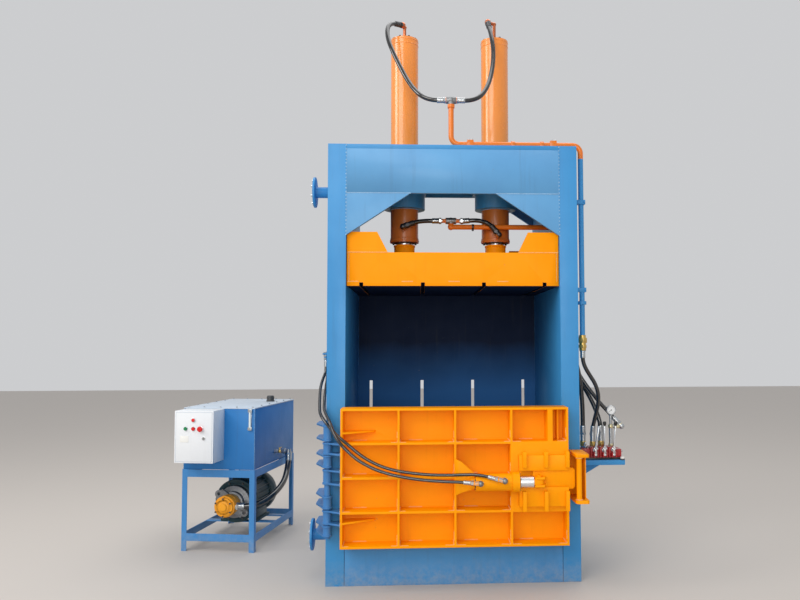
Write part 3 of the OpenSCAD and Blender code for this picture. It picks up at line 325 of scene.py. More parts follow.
class Shape:
    """A mesh in the making, in millimetres of the place that it is for."""

    def __init__(self, at=PRESS):
        self.at = at
        self.bm = bmesh.new()

    def box(self, low, high, turn=None):
        low, high = Vector(low), Vector(high)
        made = bmesh.ops.create_cube(self.bm, size=1)["verts"]
        bmesh.ops.scale(self.bm, vec=high - low, verts=made)
        if turn is not None:
            bmesh.ops.rotate(self.bm, cent=(0, 0, 0), matrix=turn, verts=made)
        bmesh.ops.translate(self.bm, vec=(low + high) / 2, verts=made)

    def rod(self, a, b, d, sides=24, end=None):
        """A round or many-sided bar from a to b, tapered where it has an end diameter."""
        a, b = Vector(a), Vector(b)
        made = bmesh.ops.create_cone(
            self.bm, cap_ends=True, segments=sides, radius1=d / 2,
            radius2=(d if end is None else end) / 2, depth=(b - a).length)["verts"]
        turn = (b - a).to_track_quat("Z", "Y").to_matrix()
        bmesh.ops.rotate(self.bm, cent=(0, 0, 0), matrix=turn, verts=made)
        bmesh.ops.translate(self.bm, vec=(a + b) / 2, verts=made)

    def post(self, x, y, low, high, d, sides=24):
        self.rod((x, y, low), (x, y, high), d, sides)

    def ball(self, centre, d, sides=24):
        made = bmesh.ops.create_uvsphere(
            self.bm, u_segments=sides, v_segments=sides // 2, radius=0.5)["verts"]
        bmesh.ops.scale(self.bm, vec=(d, d, d), verts=made)
        bmesh.ops.translate(self.bm, vec=centre, verts=made)

    def turned(self, profile, foot, axis, sides=32):
        """A lathe piece: (diameter, height) pairs from the foot along the axis."""
        axis = Vector(axis).normalized()
        side = axis.orthogonal().normalized()
        line = [self.bm.verts.new(Vector(foot) + side * (d / 2) + axis * h) for d, h in profile]
        edges = [self.bm.edges.new(pair) for pair in zip(line, line[1:])]
        bmesh.ops.spin(self.bm, geom=line + edges, cent=foot, axis=axis, dvec=(0, 0, 0),
                       angle=math.tau, steps=sides, use_merge=True, use_duplicate=False)

    def bolt(self, seat, axis, across=16, high=8):
        """A hexagon head on its washer."""
        seat, axis = Vector(seat), Vector(axis).normalized()
        self.rod(seat, seat + axis * 2, across * 1.4, 20)
        self.rod(seat + axis * 2, seat + axis * (2 + high), across * 1.15, 6)

    def weld(self, a, b, width=9, pitch=7, lift=(1, 1, 1)):
        """A run of overlapping weld ripples."""
        a, b = Vector(a), Vector(b)
        count = max(2, round((b - a).length / pitch))
        for i in range(count + 1):
            grow = width / 2 * random.uniform(0.82, 1.12)
            place = a.lerp(b, i / count) + Vector([random.uniform(-0.6, 0.6) for _ in range(3)])
            bmesh.ops.create_icosphere(
                self.bm, subdivisions=1, radius=grow,
                matrix=Matrix.Translation(place) @ Matrix.Diagonal((*lift, 1)))

    def done(self, name, material, body="root", slot=None, bevel=0, replaces=()):
        """Cleans, softens and places the mesh, and puts it in the scene."""
        bm = self.bm
        bmesh.ops.remove_doubles(bm, verts=bm.verts, dist=0.005)
        bmesh.ops.recalc_face_normals(bm, faces=bm.faces)
        if bevel:
            edges = [e for e in bm.edges
                     if len(e.link_faces) == 2 and e.calc_face_angle(0) > SHARP]
            bmesh.ops.bevel(bm, geom=edges, offset=bevel, offset_type="OFFSET",
                            affect="EDGES", segments=2, profile=0.5, material=-1,
                            clamp_overlap=True)
        bmesh.ops.transform(bm, matrix=self.at, verts=bm.verts)
        for face in bm.faces:
            face.smooth = True
        for edge in bm.edges:
            edge.smooth = len(edge.link_faces) == 2 and edge.calc_face_angle(0) < SHARP
        mesh = bpy.data.meshes.new(name)
        bm.to_mesh(mesh)
        bm.free()
        mesh.materials.append(material)
        piece = bpy.data.objects.new(name, mesh)
        scene.collection.objects.link(piece)
        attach(piece, body)
        if replaces:
            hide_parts(*replaces)
        return piece


def ring_points(count, radius, shift=0.5):
    """Evenly spaced points on a circle round nought."""
    turns = [math.tau * (i + shift) / count for i in range(count)]
    return [(radius * math.cos(a), radius * math.sin(a)) for a in turns]


def chords(count, radius):
    """The short chords that make up a circle, each by its two ends."""
    points = ring_points(count, radius, 0)
    return zip(points, points[1:] + points[:1])


def band(inner, low, high, outer, step=2, soft=1.5):
    """The outline of a ring whose outer edges are softened."""
    return [(inner, low), (outer - step, low), (outer, low + soft), (outer, high - soft),
            (outer - step, high), (inner, high), (inner, low)]


def dress(names, material, edge=0.0):
    """Gives CAD nodes their finish, and breaks their sharp edges by some millimetres."""
    for name in names.split():
        node = nodes[name]
        node.data.materials.clear()
        node.data.materials.append(material)
        node.data.polygons.foreach_set("use_smooth", [True] * len(node.data.polygons))
        joined = node.modifiers.new("joined", "WELD")
        joined.merge_threshold = 0.00002
        if edge:
            soft = node.modifiers.new("soft_edges", "BEVEL")
            soft.width = edge / 1000
            soft.segments = 2
            soft.limit_method = "ANGLE"
            soft.angle_limit = math.radians(30)
            soft.harden_normals = True
        else:
            crisp = node.modifiers.new("crisp_edges", "EDGE_SPLIT")
            crisp.split_angle = math.radians(30)
            crisp.use_edge_sharp = False


def second_finish(mesh, material, belongs):
    """Gives a second finish to the faces whose centre passes the test."""
    mesh.materials.append(material)
    for face in mesh.polygons:
        if belongs(face.center):
            face.material_index = 1


# ---- hoses ----

# Each hose's diameter and the points that it passes, on the press; the suction hose's points
# are on the power unit.
HOSES = {
    "top_left": (32, [(-60, 100, 3214), (-98, 100, 3214), (-138, 103, 3218), (-178, 113, 3231),
        (-216, 131, 3256), (-250, 157, 3294), (-284, 190, 3346), (-322, 227, 3418),
        (-369, 261, 3518), (-412, 293, 3620), (-442, 325, 3705), (-455, 360, 3780),
        (-452, 400, 3843), (-433, 440, 3884), (-404, 476, 3904), (-372, 506, 3910)]),
    "top_right": (32, [(40, 100, 3214), (78, 100, 3214), (118, 103, 3218), (158, 113, 3232),
        (194, 132, 3258), (224, 160, 3298), (250, 196, 3352), (272, 238, 3418),
        (291, 282, 3500), (304, 326, 3592), (308, 370, 3692), (301, 413, 3790),
        (291, 453, 3866), (286, 492, 3918)]),
    "inner_left": (32, [(-88, 415, 2434), (-130, 415, 2434), (-176, 412, 2433),
        (-222, 406, 2428), (-266, 398, 2418), (-306, 390, 2402)]),
    "inner_right": (32, [(88, 415, 2434), (130, 415, 2437), (174, 410, 2438), (216, 400, 2432),
        (256, 382, 2416), (290, 374, 2392), (316, 368, 2360)]),
    "door_upper": (20, [(-874, 330, 1440), (-874, 330, 1420), (-874, 330, 1400),
        (-875, 328, 1380), (-877, 322, 1361), (-880, 313, 1343), (-885, 299, 1327),
        (-889, 274, 1309), (-892, 232, 1284), (-892, 172, 1248), (-886, 100, 1202),
        (-878, 30, 1152), (-862, -42, 1102), (-812, -110, 1046), (-750, -156, 986),
        (-674, -180, 926), (-608, -188, 872), (-538, -192, 826), (-450, -195, 786),
        (-340, -199, 758), (-179, -206, 739), (-40, -218, 736), (50, -234, 740),
        (120, -254, 742), (184, -271, 735), (240, -284, 722)]),
    "door_lower": (20, [(-866, 360, 1440), (-866, 360, 1420), (-866, 360, 1400),
        (-866, 358, 1376), (-866, 352, 1353), (-866, 341, 1331), (-866, 325, 1312),
        (-865, 302, 1296), (-864, 258, 1274), (-860, 200, 1248), (-857, 134, 1214),
        (-850, 58, 1171), (-836, -40, 1126), (-794, -142, 1066), (-760, -191, 998),
        (-720, -214, 940), (-666, -227, 886), (-610, -234, 840), (-550, -237, 804),
        (-480, -239, 772), (-370, -241, 740), (-226, -243, 715), (-86, -248, 703),
        (0, -256, 700), (48, -263, 698), (90, -270, 695)]),
    "valve_front": (28, [(878, 100, 1500), (878, 100, 1476), (879, 101, 1450), (884, 104, 1422),
        (896, 110, 1392), (914, 120, 1362), (938, 136, 1328), (966, 158, 1290),
        (992, 188, 1244), (1010, 224, 1192), (1018, 264, 1136), (1016, 302, 1078),
        (1008, 330, 1020), (999, 346, 965), (996, 350, 925)]),
    "valve_middle": (32, [(878, 330, 1500), (878, 331, 1470), (882, 336, 1420),
        (900, 346, 1350), (915, 356, 1270), (924, 364, 1190), (930, 370, 1110),
        (932, 372, 1030), (932, 372, 970), (932, 372, 925)]),
    "valve_rear": (32, [(878, 500, 1500), (878, 500, 1472), (884, 494, 1412), (912, 478, 1332),
        (954, 454, 1250), (995, 427, 1170), (1028, 401, 1090), (1050, 381, 1015),
        (1059, 373, 965), (1060, 372, 925)]),
    "valve_return": (28, [(878, 415, 1500), (879, 414, 1470), (888, 410, 1410),
        (918, 402, 1330), (964, 392, 1255), (1012, 385, 1190), (1060, 382, 1128),
        (1108, 374, 1074), (1150, 362, 1026), (1176, 352, 996)]),
    "suction": (46, [(62, 600, 640), (62, 599, 598), (62, 586, 556), (64, 558, 516),
        (68, 514, 478), (70, 462, 446), (66, 404, 418), (56, 344, 392), (38, 286, 366),
        (12, 236, 344), (-24, 194, 325), (-70, 164, 312), (-124, 153, 308), (-172, 152, 307)]),
}


def in_row(points, place):
    """Points of the press or the power unit, in metres of the row."""
    return [tuple(round(v, 4) for v in place @ Vector(p)) for p in points]


ROUTES = {label: in_row(points, UNIT if label == "suction" else PRESS)
          for label, (wide, points) in HOSES.items()}

# Two points on each of the door's hoses, on a short stretch beside the hinge pin that passes
# clear of the wall and of the door; the script reads them but doesn't use them.
TURNS_FROM_TO = {
    "door_upper": ((-0.882, -0.542, 1.172), (-0.736, -0.762, 0.974)),
    "door_lower": ((-0.844, -0.599, 1.145), (-0.760, -0.791, 0.998)),
}


def end_of(label):
    """A hose's last point in millimetres of the row, and the way that the hose points there."""
    before, last = (Vector(p) * 1000 for p in ROUTES[label][-2:])
    return last, (last - before).normalized()


def swept(name, points, diameter, steps=5):
    """A round hose on a smooth curve through its points, and the line of its centre."""
    points = [Vector(p) for p in points]
    curve = bpy.data.curves.new(name, "CURVE")
    curve.dimensions = "3D"
    spline = curve.splines.new("BEZIER")
    spline.bezier_points.add(len(points) - 1)
    for i, point in enumerate(points):
        lean = (points[min(i + 1, len(points) - 1)] - points[max(i - 1, 0)]) / 6
        knot = spline.bezier_points[i]
        knot.handle_left_type = knot.handle_right_type = "FREE"
        knot.co, knot.handle_left, knot.handle_right = point, point - lean, point + lean
    centre = [points[0]]
    for a, b in zip(spline.bezier_points, spline.bezier_points[1:]):
        line = interpolate_bezier(a.co, a.handle_right, b.handle_left, b.co, steps + 1)
        centre += line[1:]
    curve.resolution_u = steps
    curve.bevel_depth = diameter / 2
    curve.bevel_resolution = 4
    curve.use_fill_caps = True
    curve.materials.append(hose_rubber)
    piece = bpy.data.objects.new(name, curve)
    scene.collection.objects.link(piece)
    return piece, centre


def as_mesh(piece):
    """The same piece as a plain mesh."""
    bpy.context.view_layer.update()
    graph = bpy.context.evaluated_depsgraph_get()
    mesh = bpy.data.meshes.new_from_object(piece.evaluated_get(graph))
    name = piece.name
    bpy.data.objects.remove(piece)
    made = bpy.data.objects.new(name, mesh)
    scene.collection.objects.link(made)
    return made


def crimp(shape, end, onto, hose):
    """The pressed sleeve over a hose's end, and the nut that it turns in."""
    end, onto = Vector(end) * 1000, Vector(onto) * 1000
    way = (onto - end).normalized()
    wide = hose + 8
    line = [(0, -3), (wide - 4, -3), (wide, 0)]
    for start in (8, 19, 30):
        line += [(wide, start), (wide - 3, start + 2), (wide - 3, start + 4), (wide, start + 6)]
    shape.turned(line + [(wide, 43), (wide - 4, 46), (0, 46)], end, way, 24)
    shape.rod(end - way * 18, end - way * 3, wide + 6, 6)
    shape.rod(end - way * 26, end - way * 18, wide - 6, 20)


for label, (hose, points) in HOSES.items():
    route, wide = ROUTES[label], hose / 1000
    on_door = label.startswith("door")
    piece, centre = swept(f"rubber_hose_{label}", route, wide)
    if on_door:
        piece = as_mesh(piece)
        start, end = TURNS_FROM_TO[label]
        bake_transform(piece)
    else:
        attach(piece, "root")
    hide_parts(f"hose_{label}")
    for end, onto, where in ((route[0], route[1], "start"), (route[-1], route[-2], "end")):
        shape = Shape(MM)
        crimp(shape, end, onto, hose)
        dark = label.startswith(("inner", "top")) and where == "end"
        shape.done(f"crimp_{label}_{where}", dark_steel if dark else zinc,
                                  "door" if on_door and where == "end" else "root", "zinc")

# ---- CAD nodes ----

dress("side_wall_left side_wall_right crosshead side_stubs valve_shelf side_pipe",
      frame_blue, 2.5)
dress("base_frame", base_blue, 1.5)
dress("rear_wall", wall_blue)
dress("top_beam corner_gussets", beam_blue, 1.5)
dress("frame_hinge_lugs door_hinge_lugs", hinge_blue, 1.5)
dress("oil_tank", tank_blue, 1.0)
dress("unit_stand", stand_blue, 0.8)
dress("platen", platen_orange, 2.0)
dress("door_panel bolt_guides bolt_plate bolt_keeper", door_orange, 1.2)
dress("lock_barrel clevis_pin", door_orange)
dress("cylinder_barrel_left cylinder_barrel_right", cylinder_orange)
dress("top_pipe inner_pipe", pipe_orange)
dress("pipe_clips", pipe_orange, 1.0)
dress("valve_block", valve_red, 1.5)
dress("valve_fittings tank_fittings cabinet_lock", zinc)
dress("hinge_pin", hinge_blue)
dress("piston_rods lock_rod", chrome)
dress("tank_lid", lid_pale, 1.2)
dress("motor", motor_teal, 0.5)
dress("bell_housing", cast_grey, 1.5)
dress("pump", pump_yellow, 1.5)
dress("cabinet_box cabinet_door", cabinet_white, 1.2)

# The side pipe's clips are blue like the pipe, and the barrels' lower ends get a darker orange
# as painted shade. Both places are in metres of the row.
PIPE_SIDE, PAINTED_SHADE_BELOW = 0.82, 2.87
second_finish(nodes["pipe_clips"].data, frame_blue, lambda centre: centre.x > PIPE_SIDE)
for side in ("left", "right"):
    second_finish(nodes[f"cylinder_barrel_{side}"].data, painted_shade_orange,
                  lambda centre: centre.z < PAINTED_SHADE_BELOW)

# ---- press frame ----

INNER, WALL = 710, 831
BEAM_Z, FLOOR_Z = 2553, 290
REAR_Y = 1118
SLOTS = [-610.5, -203.5, 203.5, 610.5]
FLAT = (1, 0.45, 1)


def between_slots(edge, gap):
    """The strips of a plate that the strap slots leave, as pairs of x."""
    cuts = [-edge, *(x + d for x in SLOTS for d in (-gap, gap)), edge]
    return zip(cuts[::2], cuts[1::2])


seams, joints = Shape(), Shape()
for s in (-1, 1):
    seams.weld((s * INNER, -1, 2274), (s * INNER, -1, 2870), 11, 24, FLAT)
    seams.weld((s * 286, -1, BEAM_Z), (s * INNER, -1, BEAM_Z), 8, 6, FLAT)
    seams.weld((s * INNER, 1201, 2520), (s * INNER, 1201, 2850), 9, 6, FLAT)
    seams.weld((s * 700, 26, FLOOR_Z + 3), (s * 700, 1110, FLOOR_Z + 3), 9, 9)
    for z in (2300, 2410, 2520):
        seams.weld((s * 707, 27, z), (s * 707, 27, z + 60), 9, 7)
    joints.box((s * INNER - 1.4, -0.7, 4), (s * INNER + 1.4, -0.1, 268))
for x in (-560, -330, -90, 150, 380, 590):
    seams.weld((x, 1140, 1294), (x + 90, 1140, 1294), 8, 7)
seams.done("frame_welds", weld_blue, slot="blue_paint")
joints.done("base_joints", dark_blue, slot="blue_paint")

# A dark sheet over the chamber's back wall is painted shade, and its lighter blue below about
# 1.2 to 1.6 m is painted light.
shade_sheet = Shape()
for low, high in between_slots(709, 12):
    shade_sheet.box((low, REAR_Y - 1.4, FLOOR_Z + 1), (high, REAR_Y - 0.1, FLOOR_Z + 970))
shade_sheet.box((-709, REAR_Y - 1.4, FLOOR_Z + 970), (709, REAR_Y - 0.1, FLOOR_Z + 1999))
shade_sheet.done("chamber_shade_sheet", chamber_painted_shade, slot="blue_paint")

STUB_Y, STUB_END = 300, -960
stub_rings, stubs = Shape(), Shape()
for z in (260, 2610):
    for (u, v), (p, q) in chords(40, 40):
        stub_rings.weld((-WALL, STUB_Y + u, z + v), (-WALL, STUB_Y + p, z + q), 8, 6)
    for u, v in ring_points(8, 84):
        stubs.bolt((STUB_END, STUB_Y + u, z + v), LEFT, 17, 9)
    stubs.turned([(0, 0), (120, 0), (124, 1), (124, 5), (120, 6), (0, 6)],
                 (STUB_END, STUB_Y, z), LEFT, 40)
stub_rings.done("stub_welds", weld_blue, slot="blue_paint")
stubs.done("stub_flange_bolts", zinc, slot="zinc")

# ---- main cylinders ----

CYL_X, CYL_Y = 335, 550
GLAND_END, FLANGE_TOP, BARREL_TOP = 2290, 2910, 3805
bolts, wipers, bands, collar_welds = (Shape() for _ in range(4))
for x in (-CYL_X, CYL_X):
    for radius, z, way, across, head in ((114, FLANGE_TOP, UP, 17, 10),
                                         (84, BARREL_TOP, UP, 15, 9),
                                         (88, GLAND_END, DOWN, 14, 8)):
        for u, v in ring_points(8, radius):
            bolts.bolt((x + u, CYL_Y + v, z), way, across, head)
    wipers.turned([(121.6, 0), (150, 0), (150, -4), (128, -9), (121.6, -9), (121.6, 0)],
                  (x, CYL_Y, GLAND_END), UP, 48)
    for low, high, d in ((2296, 2308, 214), (2318, 2322, 208), (3756, 3761, 206),
                         (3788, 3792, 206), (2540, 2552, 208)):
        bands.turned(band(200, low, high, d), (x, CYL_Y, 0), UP, 64)
    for low_and_high in zip(chords(60, 104), chords(60, 128)):
        for ((u, v), (p, q)), z in zip(low_and_high, (2531, 2881)):
            collar_welds.weld((x + u, CYL_Y + v, z), (x + p, CYL_Y + q, z), 7, 8)
bolts.done("cylinder_bolts", dark_steel, slot="zinc")
wipers.done("rod_wipers", black_plastic, slot="black_plastic")
rings = bands.done("barrel_rings", cylinder_orange, slot="cylinder_paint")
# The rings' lower ends get the same painted shade.
second_finish(rings.data, painted_shade_orange, lambda centre: centre.z < PAINTED_SHADE_BELOW)
collar_welds.done("collar_welds", weld_blue, slot="blue_paint")

# ---- platen ----

PLATEN_TOP = 2161
platen_welds, boss_rings, boss_bolts = Shape(), Shape(), Shape()
for s in (-1, 1):
    foot = (s * CYL_X, CYL_Y, PLATEN_TOP)
    platen_welds.weld((s * 440, 28, PLATEN_TOP), (s * 704, 28, PLATEN_TOP), 7, 6, FLAT)
    platen_welds.weld((s * 692, 28, 1970), (s * 692, 28, 2156), 6, 6, FLAT)
    for y in range(90, 1040, 150):
        for x in (CYL_X + 12, 683):
            platen_welds.weld((s * x, y, PLATEN_TOP + 3), (s * x, y + 70, PLATEN_TOP + 3), 8, 7)
    boss_rings.turned([(150, 0), (196, 0), (196, 14), (192, 18), (150, 18), (150, 0)],
                      foot, UP, 48)
    boss_rings.turned([(150, 96), (156, 97), (158, 100), (158, 107), (154, 110), (120.6, 110),
                       (120.6, 114), (150, 96)], foot, UP, 48)
    for u, v in ring_points(8, 86):
        boss_bolts.bolt((s * CYL_X + u, CYL_Y + v, PLATEN_TOP + 18), UP, 12, 7)
for x in (-700, -340, -30, 296):
    platen_welds.weld((x, 28, 1967), (x + 68, 28, 1967), 8, 6, FLAT)
platen_welds.done("platen_welds", weld_orange, "platen", "orange_paint")

# A dark sheet on the pressing face and on the insides of its strap grooves is painted shade.
face = Shape()
for low, high in between_slots(704, 14.5):
    face.box((low, 32, 1935.6), (high, 1086, 1936.9))
for x in SLOTS:
    face.box((x - 12.8, 30.2, 1958.8), (x + 12.8, 1087, 1959.8))
    for side in (x - 12.4, x + 12.4):
        face.box((side - 0.5, 30.2, 1937.4), (side + 0.5, 1087, 1958.6))
face.done("pressing_face_painted_shade", dark_blue, "platen", "blue_paint")
boss_rings.done("rod_boss_rings", platen_orange, "platen", "orange_paint")
boss_bolts.done("rod_boss_bolts", dark_steel, "platen", "zinc")

# ---- door ----

DOOR_X, DOOR_W, DOOR_Z, DOOR_H, RIB = -724.5, 1449, 273, 872, 14
CELL_X = [DOOR_X + RIB / 2 + i * (DOOR_W - RIB) / 4 for i in range(5)]
CELL_Z = [DOOR_Z + RIB / 2 + i * (DOOR_H - RIB) / 4 for i in range(5)]
RIB_FRONT, SKIN = -144, -22
door_welds = Shape()
for i in range(4):
    for j in range(4):
        if i == 3 and j in (1, 2):  # the lock plate covers these two cells
            continue
        left, right = CELL_X[i] + 7, CELL_X[i + 1] - 7
        low, high = CELL_Z[j] + 7, CELL_Z[j + 1] - 7
        run = random.uniform(34, 58)
        for a, b, c, d in ((left + 2, low + 1, left + run, low + 1),
                           (right - run, low + 1, right - 2, low + 1),
                           (right - 1, low + 30, right - 1, low + 30 + run)):
            door_welds.weld((a, RIB_FRONT, b), (c, RIB_FRONT, d), 7, 5.5)
        for x in (left + 1, right - 1):
            door_welds.weld((x, SKIN - 2, low + 3), (x, RIB_FRONT + 2, low + 3), 9, 7)
        door_welds.weld((left + 60, SKIN, low + 1), (left + 140, SKIN, low + 1), 11, 7)
        door_welds.weld((right - 150, SKIN, high - 1), (right - 80, SKIN, high - 1), 9, 7)
door_welds.done("door_welds", weld_orange, "door", "orange_paint")

# ---- hinge ----

PIN_X, PIN_Y = -813.5, -62
for name, body, x, near, far, knuckles in (
        ("hinge_lug_welds", "root", -WALL, 20, 196,
         ((934, 1036), (766, 846), (508, 588), (334, 404))),
        ("door_lug_welds", "door", -727, -30, -138, ((850, 926), (662, 756), (412, 500)))):
    lug_welds = Shape()
    for low, high in knuckles:
        for z in (low - 2, low + 14, high - 14, high + 2):
            lug_welds.weld((x, near, z), (x, far, z), 7, 7)
    lug_welds.done(name, weld_blue, body, "blue_paint")
pin_head = Shape()
pin_head.post(PIN_X, PIN_Y, 1048, 1049.5, 50, 32)
pin_head.post(PIN_X, PIN_Y, 1049.5, 1053, 26, 6)
pin_head.done("hinge_pin_cap", hinge_blue, slot="blue_paint", bevel=0.8)

# ---- door bolt ----

LOCK_X0, LOCK_X1, EYE_X = 122, 397, 524
LOCK_AXIS = PRESS @ Matrix.Translation((0, -214, 688))
rings, screws, wiper, pins, eye = (Shape(LOCK_AXIS) for _ in range(5))
for low, high, d, *soft in ((122, 132, 112), (146, 150, 109), (342, 350, 112),
                            (356, 378, 125, 4, 2)):
    rings.turned(band(100, low, high, d, *soft), MIDDLE, RIGHT, 48)
rings.done("lock_cylinder_rings", door_orange, "door", "orange_paint")
for u, v in ring_points(6, 49):
    screws.rod((LOCK_X1, u, v), (LOCK_X1 + 7, u, v), 13, 12)
for u, v in ring_points(6, 40):
    screws.bolt((LOCK_X0, u, v), LEFT, 9, 3)
screws.done("lock_cylinder_screws", dark_steel, "door", "zinc")
wiper.turned([(73.5, 0), (92, 0), (90, 5), (78, 7), (73.5, 7), (73.5, 0)], (LOCK_X1, 0, 0),
             RIGHT, 40)
wiper.done("lock_rod_wiper", black_plastic, "door", "black_plastic")

elbows, collars, side_ports = Shape(MM), Shape(MM), Shape(MM)
for label in ("door_upper", "door_lower"):
    last, way = end_of(label)
    knee = last + way * 62
    collars.rod(last + way * 24, knee - way * 10, 29, 6)
    elbows.ball(knee, 36, 20)
    elbows.rod(knee, (knee.x, -862, knee.z), 30, 20)
    collars.rod((knee.x, -877, knee.z), (knee.x, -868, knee.z), 40, 6)
elbows.done("lock_port_elbows", cast_grey, "door", "cast_metal")
collars.done("lock_port_nuts", zinc, "door", "zinc")
for label in ("inner_left", "inner_right"):
    last, way = end_of(label)
    knee = last + way * 40
    side_ports.rod(last, knee, 38)
    side_ports.ball(knee, 44, 20)
    side_ports.rod(knee, (knee.x, -139, knee.z), 34)
side_ports.done("barrel_side_ports", dark_steel, slot="cast_metal")

pins.rod((EYE_X, -30, -34), (EYE_X, 30, -34), 4, 8)
pins.turned([(18, 40), (32, 40), (34, 41.5), (34, 43), (0, 43.5)], (EYE_X, 0, 0), UP)
pins.done("clevis_pin_details", door_orange, "bolt", "orange_paint")
eye.box((484, -28.4, -16.8), (EYE_X + 4, 28.4, 16.8))
eye.post(EYE_X, 0, -16.8, 16.8, 57, 40)
eye.done("lock_rod_eye", door_orange, "bolt", "orange_paint", bevel=1)

BAR_X, BAR_Y = 780, -201
keeper_welds, backing = Shape(), Shape()
for z in (571, 831):
    for (u, v), (p, q) in chords(18, 19):
        keeper_welds.weld((BAR_X + u, BAR_Y + v, z), (BAR_X + p, BAR_Y + q, z), 7, 6)
    keeper_welds.weld((752, -3, z), (834, -3, z), 7, 6)
keeper_welds.done("keeper_welds", weld_orange, slot="orange_paint")
backing.box((822, -178, 567), (829, -1, 835))
backing.box((744, -6, 566), (829, -0.5, 836))
backing.done("keeper_backing", door_orange, slot="orange_paint", bevel=1)

# ---- pipework ----

PIPE_Y, TEE_X, TEE_Z = 100, -10, 3214
LOW_TEE_Y, LOW_TEE_Z = 415, 2434
SIDE_X = 878
tees, unions, strap, brasses, nuts = (Shape() for _ in range(5))
tees.rod((-44, PIPE_Y, TEE_Z), (24, PIPE_Y, TEE_Z), 48, 32)
tees.post(TEE_X, PIPE_Y, TEE_Z, 3184, 46, 32)
tees.ball((TEE_X, PIPE_Y, TEE_Z), 54)
tees.rod((-36, LOW_TEE_Y, LOW_TEE_Z), (36, LOW_TEE_Y, LOW_TEE_Z), 46, 32)
tees.post(0, LOW_TEE_Y, LOW_TEE_Z, 2414, 42, 32)
tees.ball((0, LOW_TEE_Y, LOW_TEE_Z), 50)
tees.done("tee_bodies", cast_grey, slot="cast_metal", bevel=1)
unions.post(TEE_X, PIPE_Y, 3160, 3184, 54, 6)
unions.post(0, LOW_TEE_Y, 2404, 2414, 46, 6)
unions.ball((0, LOW_TEE_Y, 2390), 45)
for x in (400, 600):
    unions.rod((x, PIPE_Y, 2910), (x + 26, PIPE_Y, 2910), 52, 6)
unions.done("pipe_unions", pipe_orange, slot="pipe_paint", bevel=1.5)
strap.rod((150, LOW_TEE_Y, 2390), (166, LOW_TEE_Y, 2390), 43, 32)
strap.box((151, LOW_TEE_Y - 7, 2362), (165, LOW_TEE_Y + 7, 2376))
strap.done("pipe_strap", black_plastic, slot="black_plastic", bevel=0.8)
for low, high, d, sides in ((1503, 1609, 45, 32), (1556, 1590, 62, 6), (1522, 1542, 56, 6)):
    brasses.post(SIDE_X, PIPE_Y, low, high, d, sides)
brasses.done("side_pipe_union", brass, slot="zinc", bevel=1.2)
for y in (330, 415, 500):
    nuts.post(SIDE_X, y, 1592.4, 1608, 62, 6)
    nuts.post(SIDE_X, y, 1530, 1548, 50, 6)
for x, y in ((-874, 330), (-866, 360)):
    nuts.post(x, y, 1490, 1500, 38, 6)
    nuts.post(x, y, 1466, 1479, 38, 6)
nuts.done("bulkhead_nuts", zinc, slot="zinc", bevel=1)

clip_bolts, side_clip_bolts, copper_bends = Shape(), Shape(), Shape(MM)
for x in (120, 690):
    for y in (PIPE_Y - 16, PIPE_Y + 16):
        for dx in (-12, 12):
            clip_bolts.bolt((x + dx, y, 2938), UP, 8, 5)
clip_bolts.done("clip_bolts", zinc, slot="zinc")
for z in (1915, 2515):
    for x in (844, 896):
        side_clip_bolts.bolt((x, PIPE_Y - 22, z), FORWARD, 10, 6)
side_clip_bolts.done("side_clip_bolts", frame_blue, slot="blue_paint")
for label, x, rise in (("top_left", -CYL_X, 102), ("top_right", CYL_X, 138)):
    last, way = end_of(label)
    tip = last + way * 30
    knee = Vector((x, CYL_Y - 600, BARREL_TOP + rise))
    copper_bends.rod(last + way * 26, tip, 40, 32)
    copper_bends.ball(tip, 46)
    copper_bends.rod(tip, knee, 24)
    copper_bends.ball(knee, 31)
    copper_bends.post(knee.x, knee.y, knee.z, BARREL_TOP + 17, 24)
    copper_bends.post(knee.x, knee.y, BARREL_TOP + 20, BARREL_TOP + 36, 42, 6)
copper_bends.done("cylinder_cap_elbows", copper, slot="cylinder_paint")

# ---- valve ----

SHELF = 742
VALVE_X, VALVE_Y, VALVE_END = 900, 290, 1186
SECTION_X = [996, 1060, 1124]
trims, port_nuts, elbow = Shape(), Shape(MM), Shape(MM)
for x in SECTION_X:
    for dx in (-20, 20):
        trims.bolt((x + dx, VALVE_Y + 30, SHELF + 84), UP, 8, 4)
    trims.turned([(0, 0), (30, 0), (30, 6), (24, 10), (0, 10)], (x, VALVE_Y, SHELF + 66),
                 FORWARD, 24)
for y in (VALVE_Y + 20, VALVE_Y + 90):
    for z in (SHELF + 16, SHELF + 56):
        trims.bolt((VALVE_END, y, z), RIGHT, 13, 9)
        trims.bolt((VALVE_X + 8, y, z), LEFT, 13, 9)
for low, high, d, sides in ((76, 92, 30, 6), (92, 118, 16, 16), (100, 106, 24, 6)):
    trims.post(VALVE_X + 35, VALVE_Y + 30, SHELF + low, SHELF + high, d, sides)
trims.done("valve_trims", zinc, slot="zinc", bevel=0.6)
for label in ("valve_front", "valve_middle", "valve_rear"):
    last, way = end_of(label)
    port_nuts.post(last.x, last.y, 827, 853, 46, 6)
    port_nuts.post(last.x, last.y, 853, 862, 41)
port_nuts.done("valve_port_nuts", brass, slot="zinc", bevel=1)
last, way = end_of("valve_return")
knee = last + way * 40
elbow.rod(last + way * 22, knee, 37)
elbow.ball(knee, 42)
elbow.rod(knee, (1146, knee.y, knee.z), 30)
elbow.rod((1146, knee.y, knee.z), (1160, knee.y, knee.z), 40, 6)
elbow.ball((SECTION_X[2], knee.y, knee.z), 38)
elbow.post(SECTION_X[2], knee.y, 828, 846, 38, 6)
elbow.done("return_elbow", yellow_zinc, slot="zinc", bevel=0.8)
rail, drain = Shape(), Shape()
rail.box((VALVE_X + 4, VALVE_Y - 3, SHELF + 0.3), (1190, VALVE_Y + 3, SHELF + 14))
rail.post(VALVE_END, 272, SHELF, SHELF + 7, 34, 32)
